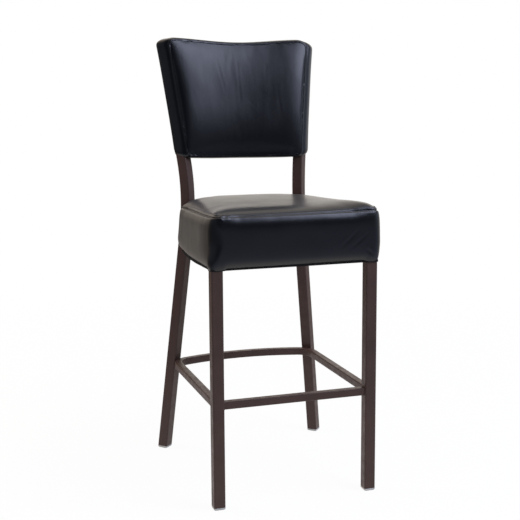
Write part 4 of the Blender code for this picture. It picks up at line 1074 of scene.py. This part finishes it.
def band_finish():
    """Matte near-black sheet with a fine weave. It is partly the band's own black and partly painted shade from under
    the seat's bottom roll.
    """
    made = Finish("Black band with painted shade", (0.0045, 0.0045, 0.0050), 0.85)
    made.shade(Specular_IOR_Level=0.25)
    weave = made.noise(1400.0, 2.0, 0.6, made.stretched((1.0, 1.0, 0.3)))
    made.ramp(weave, (0.35, (0.003, 0.003, 0.0034)), (0.70, (0.0075, 0.0075, 0.0082)))
    made.bump((weave, 0.5, 0.0002))
    return made.material


def staple_finish():
    """Bright flat wire."""
    made = Finish("Staple wire", (0.60, 0.60, 0.58), 0.30, 1.0)
    made.rough(made.noise(900.0), 0.22, 0.40)
    made.bump((made.noise(2200.0), 0.2, 0.00003))
    return made.material


# Pieces

STITCH_WIDTH = 0.00105
STITCH_THICKNESS = 0.00085
STITCH_BEND = 0.00022  # how far a stitch's ends dip into the cover
STITCH_HEIGHT = 0.00042  # height of a stitch's middle over the cover


def stitch_line(name, path, closed, surface, look):
    """A row of stitches that lies on a cover along a path."""
    bpy.ops.object.select_all(action="DESELECT")
    bpy.ops.mesh.primitive_uv_sphere_add(segments=8, ring_count=6, radius=0.5)
    model = bpy.context.object
    for v in model.data.vertices:
        v.co = Vector((v.co.z * look.stitch_length, v.co.x * STITCH_WIDTH, v.co.y * STITCH_THICKNESS))
        v.co.z -= STITCH_BEND * (2 * v.co.x / look.stitch_length) ** 2
    frames = []
    for place, along in spaced(path, look.stitch_pitch, closed):
        found, near, normal, _ = surface.closest_point_on_mesh(place)
        if found:
            frames.append(placing(near + normal * STITCH_HEIGHT, along, normal))
    return copies(name, model, frames)


class STOOL_OT_finishes(bpy.types.Operator):
    """Gives the frame's tubes, boards, glides and fasteners their finishes"""
    bl_idname = "stool.finishes"
    bl_label = "Frame finishes"

    def execute(self, context):
        finishes = plain_finishes()
        finishes["powder_coat"] = paint_finish(context.scene.stool_frame)
        finishes["vinyl"] = vinyl_finish(context.scene.stool_cover)
        for name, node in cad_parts.items():
            for place in node.material_slots:
                slot = place.material.name.split(".")[0]
                if slot not in finishes:
                    raise RuntimeError("no finish for " + slot + " on " + name)
                place.material = finishes[slot]
        return {"FINISHED"}


SEAT_STITCH_IN = 0.0030  # how far the seat's row of stitches lies in from the seam and up from it
SEAT_STITCH_UP = 0.009


class STOOL_OT_seat(bpy.types.Operator):
    """Makes the seat's sewn cover over its filling, with its seam, hem, creases and stitches"""
    bl_idname = "stool.seat"
    bl_label = "Seat cushion"

    def execute(self, context):
        look = context.scene.stool_cover
        item, held, seam = seat_shell()
        settle(item, held, look.seat_room, SEAT_LOOSENESS, look.settle_frames)
        ripple(item, *SEAT_RIPPLE)
        apply_modifier(item, "SUBSURF", levels=1, render_levels=1)
        crease(item, SEAT_CREASES)
        apply_modifier(item, "SOLIDIFY", thickness=COVER, offset=-1.0)
        finished(item, "seat_cushion", bpy.data.materials["Satin vinyl"], 80)
        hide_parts("seat_cover_top", "seat_cover_boxing", "seat_foam")
        path = []
        for p in seam:
            inward = Vector((-p.x, SEAT_REAR / 2 + FRONT - p.y, 0)).normalized()
            path.append(p + inward * SEAT_STITCH_IN + Vector((0, 0, SEAT_STITCH_UP)))
        stitches = stitch_line("seat_seam_stitches", path, True, item, look)
        finished(stitches, "seat_seam_stitches", thread_finish(look), 60)
        return {"FINISHED"}


HEM_BAND_ROWS = (0.0, 0.3, 0.55, 0.8, 1.0)


def hem_band_share(p):
    """How much of the hem's band hangs out at a place: less at the left front, more along the left side."""
    share = BAND_LEFT_SHARE + (1 - BAND_LEFT_SHARE) * part(p.x, *BAND_FRONT)
    return share + BAND_SIDE_SHARE * part(p.y, 0.0, BAND_SIDE_LENGTH) if p.x < BAND_SIDE else share


class STOOL_OT_hem(bpy.types.Operator):
    """Makes the matte black band that shows under the seat cover's hem, its black partly painted shade from under the
    roll
    """
    bl_idname = "stool.hem"
    bl_label = "Hem band"

    def execute(self, context):
        plan, normals = seat_plan(REAR_BOTTOM, BOTTOM_DRAW, CORNER_TUCK)
        line = []
        for i in range(2 - SIDE_END, SIDE_END - 1):
            p, n = plan[i], normals[i]
            line.append(p - n * min(ROLL_INSET, hem_room(p, n) - 2 * HEM_BAND_SHEET))
        points = []
        for level in HEM_BAND_ROWS:
            for p in line:
                z = seat_bottom(p.y) + ROLL_END - (ROLL_END + HEM_BAND * hem_band_share(p)) * level
                shift = corner_shift(Vector((p.x, p.y, z)))
                points.append(Vector((p.x + shift, p.y + FRONT, z)))
        count = len(line)
        faces = [(r * count + i, r * count + count + i, r * count + count + i + 1, r * count + i + 1)
                 for r in range(len(HEM_BAND_ROWS) - 1) for i in range(count - 1)]
        item = mesh_object("seat_hem_band", points, faces)
        ripple(item, *BAND_RIPPLE)
        apply_modifier(item, "SOLIDIFY", thickness=HEM_BAND_SHEET, offset=-1.0)
        finished(item, "seat_hem_band", band_finish(), 50)
        return {"FINISHED"}


BACK_STITCH_PUSH = 0.0030  # how far the back's rows of stitches lie from their seams, toward each other
BACK_STITCH_OUT = 0.010  # how far out they start, to be laid on the cover's outside
BACK_STITCH_LOW = 0.010  # how far they end from the seam's lowest and highest places
BACK_STITCH_HIGH = 0.016
BACK_STITCH_SIDE = 0.12  # farther across than this the seams run up the sides


class STOOL_OT_back(bpy.types.Operator):
    """Makes the back's sewn cover with its band, seams, creases and stitches"""
    bl_idname = "stool.back"
    bl_label = "Back cushion"

    def execute(self, context):
        look = context.scene.stool_cover
        item, held, seams = back_shell()
        settle(item, held, look.back_room, BACK_LOOSENESS, look.settle_frames)
        ripple(item, *BACK_RIPPLE)
        apply_modifier(item, "SUBSURF", levels=1, render_levels=1)
        ahead = Vector((0, FRONT, 0))
        crease(item, [(front_face(*a) + ahead, front_face(*b) + ahead, width, depth)
                      for a, b, width, depth in BACK_CREASES])
        open_round_tubes(item)
        apply_modifier(item, "SOLIDIFY", thickness=COVER, offset=-1.0)
        finished(item, "back_cushion", bpy.data.materials["Satin vinyl"], 80)
        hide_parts("back_cover_front", "back_cover_rear", "back_cover_boxing", "back_foam")
        rows = []
        for seam, push in zip(seams, (BACK_STITCH_PUSH, -BACK_STITCH_PUSH)):
            path = [p + Vector((math.copysign(BACK_STITCH_OUT, p.x), push, 0)) for p in seam]
            low = min(p.z for p in path) + BACK_STITCH_LOW
            high = max(p.z for p in path) - BACK_STITCH_HIGH
            for side in (1, -1):
                line = [p for p in path if p.x * side > BACK_STITCH_SIDE and low < p.z < high]
                line.sort(key=lambda p: p.z)
                rows.append(stitch_line("row", line, False, item, look))
        finished(joined(rows), "back_seam_stitches", bpy.data.materials["Sewing thread"], 60)
        return {"FINISHED"}


BEAD_WAVES = 23  # waves round a loop, with their share of the bead's radius, and the share that is uneven
BEAD_WAVE_SHARE = 0.22
BEAD_UNEVEN_SHARE = 0.12
BEAD_SQUARENESS = 8
TORUS_RADIUS = 0.2
LINE_WAVE_SHARE = 0.2  # likewise for straight beads, with how blunt their ends are
LINE_WAVES = 19
LINE_BLUNTNESS = 6


def bead_loop(half, radius, place, facing):
    """A closed weld bead round a square tube that meets a face."""
    bpy.ops.object.select_all(action="DESELECT")
    bpy.ops.mesh.primitive_torus_add(major_segments=72, minor_segments=8, major_radius=1.0,
                                     minor_radius=TORUS_RADIUS)
    item = bpy.context.object
    spin = Vector((0, 0, 1)).rotation_difference(facing).to_matrix()
    for v in item.data.vertices:
        angle = math.atan2(v.co.y, v.co.x)
        ring = Vector((math.cos(angle), math.sin(angle), 0))
        offset = (v.co - ring) / TORUS_RADIUS
        power = (abs(ring.x) ** BEAD_SQUARENESS + abs(ring.y) ** BEAD_SQUARENESS) ** (1 / BEAD_SQUARENESS)
        middle = ring / power * half
        uneven = BEAD_UNEVEN_SHARE * noise.noise(middle * 260 + place * 40)
        thick = radius * (1 + BEAD_WAVE_SHARE * math.sin(angle * BEAD_WAVES) + uneven)
        v.co = place + spin @ (middle + offset * thick)
    return item


def bead_line(start, end, radius):
    """A straight weld bead with round ends."""
    bpy.ops.object.select_all(action="DESELECT")
    bpy.ops.mesh.primitive_uv_sphere_add(segments=10, ring_count=22, radius=1.0)
    item = bpy.context.object
    along = (end - start) / 2
    spin = Vector((0, 0, 1)).rotation_difference(along).to_matrix()
    for v in item.data.vertices:
        t = v.co.z
        round_width = max(math.sqrt(max(1 - t * t, 0)), 1e-3)
        body = math.sqrt(max(1 - t ** LINE_BLUNTNESS, 0)) / round_width if abs(t) < 0.999 else 1
        thick = body * radius * (1 + LINE_WAVE_SHARE * math.sin(t * LINE_WAVES))
        v.co = (start + end) / 2 + spin @ Vector((v.co.x * thick, v.co.y * thick, t * along.length))
    return item


WELD_GAP = 0.0003  # between a tube and the face it is welded to
WELD_HALF = 0.011  # half length of the straight beads
HOOP_DROP = 0.003  # how much lower than the hoop's middle its rear welds lie


class STOOL_OT_welds(bpy.types.Operator):
    """Lays weld beads where the footrest's tubes meet the legs"""
    bl_idname = "stool.welds"
    bl_label = "Weld beads"

    def execute(self, context):
        radius = context.scene.stool_frame.weld
        half = REST_TUBE / 2
        bar_low, bar_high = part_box("footrest_front_bar")
        hoop_low, hoop_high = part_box("footrest_hoop")
        bar = (bar_low + bar_high) / 2
        leg_x = FRONT_WIDTH / 2 - LEG_TUBE
        level = (hoop_low.z + hoop_high.z) / 2 - HOOP_DROP
        tube = rear_tube(level)
        face = tube.xy - AHEAD * (LEG_TUBE / 2 + WELD_GAP)
        a, b = face - ACROSS * WELD_HALF, face + ACROSS * WELD_HALF
        beads = []
        for side in (1, -1):
            beads.append(bead_loop(half, radius, Vector((side * leg_x, bar.y, bar.z)), Vector((1, 0, 0))))
            hoop = Vector((side * (leg_x + LEG_TUBE / 2), FRONT + LEG_TUBE, bar.z))
            beads.append(bead_loop(half, radius, hoop, Vector((0, 1, 0))))
            for height in (level + half, level - half):
                beads.append(bead_line(Vector((side * a.x, a.y + FRONT, height)),
                                       Vector((side * b.x, b.y + FRONT, height)), radius))
        finished(joined(beads), "weld_beads", bpy.data.materials["Powder coat"], 60)
        return {"FINISHED"}


STAPLE = (0.0104, 0.0011, 0.0006)  # length, width and height
STAPLE_BEVEL = 0.00022
STAPLE_INSET = 0.0165  # from the outline to the row
STAPLE_DROP = 0.0018
REAR_STAPLE_INSET = 0.022
REAR_STAPLE_HALF = 0.12  # half length of the rear row
STAPLE_SLANT = math.radians(7)
STAPLE_JUMP = 0.03  # longest step along a row that isn't a gap in it
STAPLE_TUBE_STEPS = 14  # ring places before the rear tubes that go without


class STOOL_OT_staples(bpy.types.Operator):
    """Staples the dust cloth under the seat"""
    bl_idname = "stool.staples"
    bl_label = "Dust cloth staples"

    def execute(self, context):
        pitch = context.scene.stool_cover.staple_pitch
        bpy.ops.object.select_all(action="DESELECT")
        bpy.ops.mesh.primitive_cube_add(size=1.0)
        model = bpy.context.object
        for v in model.data.vertices:
            v.co = Vector((v.co.x * STAPLE[0], v.co.y * STAPLE[1], v.co.z * STAPLE[2]))
        apply_modifier(model, "BEVEL", width=STAPLE_BEVEL, segments=2)
        plan, normals = seat_plan(REAR_BOTTOM, BOTTOM_DRAW)
        path = []
        for i, (p, n) in enumerate(zip(plan, normals)):
            if hem_room(p, n) < HEM - 2 * ROOM_STEP or min(i, len(plan) - i) > TUBE_PLACE - STAPLE_TUBE_STEPS:
                continue
            q = p - n * STAPLE_INSET
            path.append(Vector((q.x, q.y + FRONT, seat_bottom(q.y) - STAPLE_DROP)))
        y = SEAT_REAR - REAR_STAPLE_INSET
        rear = [Vector((side * REAR_STAPLE_HALF, y + FRONT, seat_bottom(y) - STAPLE_DROP)) for side in (-1, 1)]
        tilt = Vector((0, -BOTTOM_FALL / SEAT_REAR, -1))
        frames = []
        for line in runs(path) + [rear]:
            for place, along in spaced(line, pitch, False):
                slant = Matrix.Rotation(STAPLE_SLANT * noise.noise(place * 60), 3, tilt) @ along
                frames.append(placing(place, slant, tilt))
        item = copies("dust_cloth_staples", model, frames)
        finished(item, "dust_cloth_staples", staple_finish(), 40)
        return {"FINISHED"}


def runs(path):
    """Splits a path where it jumps."""
    found = [[path[0]]]
    for a, b in zip(path, path[1:]):
        if (b - a).length > STAPLE_JUMP:
            found.append([])
        found[-1].append(b)
    return [run for run in found if len(run) > 2]


# Creases: ends, half width and depth
SEAT_CREASES = [
    ((-0.202, FRONT - 0.004, 0.750), (-0.188, FRONT + 0.018, 0.763), 0.0042, 0.0018),
    ((-0.188, FRONT - 0.006, 0.749), (-0.166, FRONT + 0.012, 0.762), 0.0044, 0.0014),
    ((-0.170, FRONT - 0.006, 0.749), (-0.140, FRONT + 0.006, 0.758), 0.0042, 0.0010),
    ((-0.205, FRONT - 0.004, 0.744), (-0.192, FRONT - 0.008, 0.722), 0.0044, 0.0006),
    ((0.203, FRONT - 0.008, 0.634), (0.190, FRONT - 0.008, 0.648), 0.0036, 0.0012),
    ((0.115, FRONT - 0.008, 0.655), (0.165, FRONT - 0.008, 0.700), 0.0034, 0.00035),
    ((0.140, FRONT - 0.008, 0.650), (0.190, FRONT - 0.008, 0.690), 0.0034, 0.00030),
]
# Creases of the back: places across and up, half width and depth
BACK_CREASES = [
    ((0.37, 0.16), (0.39, 0.80), 0.0034, 0.00030),
    ((-0.02, 0.44), (-0.03, 0.82), 0.0036, 0.00022),
    ((-0.24, 0.56), (-0.33, 0.84), 0.0036, 0.00020),
    ((0.10, 0.50), (0.26, 0.41), 0.0030, 0.00018),
    ((0.62, 0.30), (0.55, 0.62), 0.0040, 0.00016),
]


class STOOL_OT_stage(bpy.types.Operator):
    """Sets the floor, the lights, the surroundings and the camera"""
    bl_idname = "stool.stage"
    bl_label = "Stage"

    def execute(self, context):
        studio = context.scene.stool_studio
        if studio.show_floor:
            make_floor(studio.floor)
        make_surroundings(context.scene)
        make_lights()
        make_camera(context.scene)
        context.scene.view_settings.view_transform = "Standard"
        return {"FINISHED"}


FLOOR_SIZE = 30.0
WHITE = (1.0, 1.0, 1.0)


def make_floor(colour):
    """A floor that takes shadows and shows nearly white to the camera. To gloss it glows with painted light in place
    of its own shading: a dim studio floor with a painted pool of light close to the stool's feet.
    """
    bpy.ops.object.select_all(action="DESELECT")
    bpy.ops.mesh.primitive_grid_add(x_subdivisions=12, y_subdivisions=12, size=FLOOR_SIZE)
    floor = bpy.context.object
    floor.name = "floor"
    material = bpy.data.materials.new("Pale floor with painted gloss light")
    material.use_nodes = True
    made = Nodes(material.node_tree)
    made.tree.nodes.clear()
    rays = made.node("ShaderNodeLightPath").outputs
    place = made.node("ShaderNodeTexCoord").outputs["Object"]
    split = made.node("ShaderNodeSeparateXYZ", Vector=place).outputs
    length = made.node("ShaderNodeVectorMath")
    length.operation = "LENGTH"
    made.feed(length.inputs[0], place)
    away = length.outputs["Value"]

    def blend(value, start, end, a, b):
        return made.tinted(made.ranged(value, start, end, 0, 1, smooth=False), a, b)

    # Gloss: painted light, warm behind the stool and brighter to the right
    behind = blend(split["X"], -2.6, 1.4, (0.06, 0.047, 0.038), (0.62, 0.55, 0.48))
    # cool before it, dimmer far away and at the left
    before = blend(away, 3.5, 8.0, (0.40, 0.43, 0.57), (0.10, 0.11, 0.15))
    before = blend(split["X"], -3.6, -1.2, (0.03, 0.03, 0.04), before)
    room = blend(split["Y"], -0.8, 0.8, before, behind)
    # and a painted pool of light, pale close to the stool's feet
    room = blend(away, 0.6, 1.8, (0.95, 0.93, 0.92), room)
    # Camera: a little shading near the stool, none away from it
    fade = made.ranged(away, 0.5, 2.6, 0.94, 1.0, smooth=False)
    seen = made.counted("MULTIPLY", rays["Is Camera Ray"], fade)
    mix = made.node("ShaderNodeMixShader", Fac=made.counted("MAXIMUM", seen, rays["Is Glossy Ray"]))
    # Gloss sees the painted light as an emission; the camera sees white
    tints = (("ShaderNodeBsdfDiffuse", tuple(colour)), ("ShaderNodeEmission", room))
    for socket, (kind, tint) in zip(mix.inputs[1:], tints):
        shader = made.node(kind, Color=made.tinted(rays["Is Camera Ray"], tint, WHITE))
        made.feed(socket, shader.outputs[0])
    made.node("ShaderNodeOutputMaterial", Surface=mix.outputs[0])
    floor.data.materials.append(material)


def make_surroundings(scene):
    """White to the camera and to glass. Gloss shows the backdrop behind the stool and a dim studio elsewhere."""
    world = bpy.data.worlds.new("Studio")
    scene.world = world
    world.use_nodes = True
    made = Nodes(world.node_tree)
    made.tree.nodes.clear()
    rays = made.node("ShaderNodeLightPath").outputs
    place = made.node("ShaderNodeTexCoord").outputs["Generated"]
    split = made.node("ShaderNodeSeparateXYZ", Vector=place).outputs
    # Gloss: a backdrop behind and above, brighter to the right, a bright panel at the right and a dim one at the left
    slope = made.counted("MULTIPLY", split["Z"], 0.9)
    behind = made.ranged(made.counted("ADD", split["Y"], slope), 0.20, 0.95, 0.0, 1.0)
    backdrop = made.ranged(made.counted("ADD", split["X"], slope), -0.36, 0.52, 0.28, 1.16)
    right = made.ranged(split["X"], 0.66, 1.0, 0.03, 0.76)
    left = made.ranged(split["X"], -0.40, -0.90, 0.0, 0.25)
    gloss = made.mixed(behind, made.counted("ADD", right, left), backdrop)
    # Even light for everything matt
    light = made.mixed(rays["Is Diffuse Ray"], gloss, 0.52)
    seen = made.counted("MAXIMUM", rays["Is Camera Ray"], rays["Is Transmission Ray"])
    warmth = made.ranged(split["X"], -0.35, 0.30, 0.0, 1.0)
    tint = made.tinted(behind, (0.70, 0.80, 1.0), made.tinted(warmth, (1.0, 0.82, 0.67), (1.0, 0.93, 0.85)))
    background = made.node("ShaderNodeBackground", Color=made.tinted(rays["Is Glossy Ray"], WHITE, tint),
                           Strength=made.mixed(seen, light, 1.0))
    made.node("ShaderNodeOutputWorld", Surface=background.outputs[0])


def area_light(name, place, target, size, power, colour, turn=0.0):
    """A rectangular light that faces a place, turned about its own middle."""
    light = bpy.data.lights.new(name, "AREA")
    light.shape = "RECTANGLE"
    light.size, light.size_y = size
    light.energy = power
    light.color = colour
    item = bpy.data.objects.new(name, light)
    bpy.context.scene.collection.objects.link(item)
    item.location = place
    aim = (Vector(target) - Vector(place)).to_track_quat("-Z", "Y").to_matrix()
    item.rotation_euler = (aim @ Matrix.Rotation(math.radians(turn), 3, "Z")).to_euler()
    return item


def make_lights():
    """A cool softbox before the stool on the right, and a warm light on the left that gloss doesn't show."""
    area_light("front softbox", place=(1.50, -1.40, 2.56), target=(0, 0, 0.9), size=(1.70, 1.85), power=62,
               colour=(0.70, 0.76, 1.0), turn=-20)
    fill = area_light("left fill", place=(-1.75, 1.08, 1.05), target=(0, 0, 0.6), size=(0.9, 1.5), power=16.0,
                      colour=(1.0, 0.86, 0.73))
    fill.visible_glossy = False


def make_camera(scene):
    """The photo's own view."""
    yaw, pitch, roll = (math.radians(angle) for angle in (CAMERA_YAW, CAMERA_PITCH, CAMERA_ROLL))
    turn = Matrix.Rotation(-yaw, 4, "Z") @ Matrix.Rotation(math.pi / 2 - pitch, 4, "X")
    data = bpy.data.cameras.new("camera")
    data.sensor_width = CAMERA_SENSOR
    data.lens = CAMERA_LENS
    data.shift_x, data.shift_y = CAMERA_SHIFT
    camera = bpy.data.objects.new("camera", data)
    scene.collection.objects.link(camera)
    camera.matrix_world = Matrix.Translation(CAMERA_PLACE) @ turn @ Matrix.Rotation(-roll, 4, "Z")
    scene.camera = camera


class STOOL_PT_panel(bpy.types.Panel):
    """Lists the stool's pieces and the values that change them"""
    bl_idname = "STOOL_PT_panel"
    bl_label = "Bar stool"
    bl_space_type = "VIEW_3D"
    bl_region_type = "UI"
    bl_category = "Stool"

    def draw(self, context):
        for group in (context.scene.stool_frame, context.scene.stool_cover, context.scene.stool_studio):
            box = self.layout.box()
            for name in group.__annotations__:
                box.prop(group, name)
        for operator in OPERATORS:
            self.layout.operator(operator.bl_idname)


OPERATORS = (STOOL_OT_finishes, STOOL_OT_seat, STOOL_OT_hem, STOOL_OT_back, STOOL_OT_welds, STOOL_OT_staples,
             STOOL_OT_stage)
CLASSES = (StoolFrameLook, StoolCoverLook, StoolStudio) + OPERATORS + (STOOL_PT_panel,)


def register():
    for item in CLASSES:
        bpy.utils.register_class(item)
    bpy.types.Scene.stool_frame = PointerProperty(type=StoolFrameLook)
    bpy.types.Scene.stool_cover = PointerProperty(type=StoolCoverLook)
    bpy.types.Scene.stool_studio = PointerProperty(type=StoolStudio)


def unregister():
    del bpy.types.Scene.stool_studio
    del bpy.types.Scene.stool_cover
    del bpy.types.Scene.stool_frame
    for item in reversed(CLASSES):
        bpy.utils.unregister_class(item)


def main():
    register()
    bpy.ops.stool.finishes()
    bpy.ops.stool.seat()
    bpy.ops.stool.hem()
    bpy.ops.stool.back()
    bpy.ops.stool.welds()
    bpy.ops.stool.staples()
    bpy.ops.stool.stage()


if __name__ == "__main__":
    main()
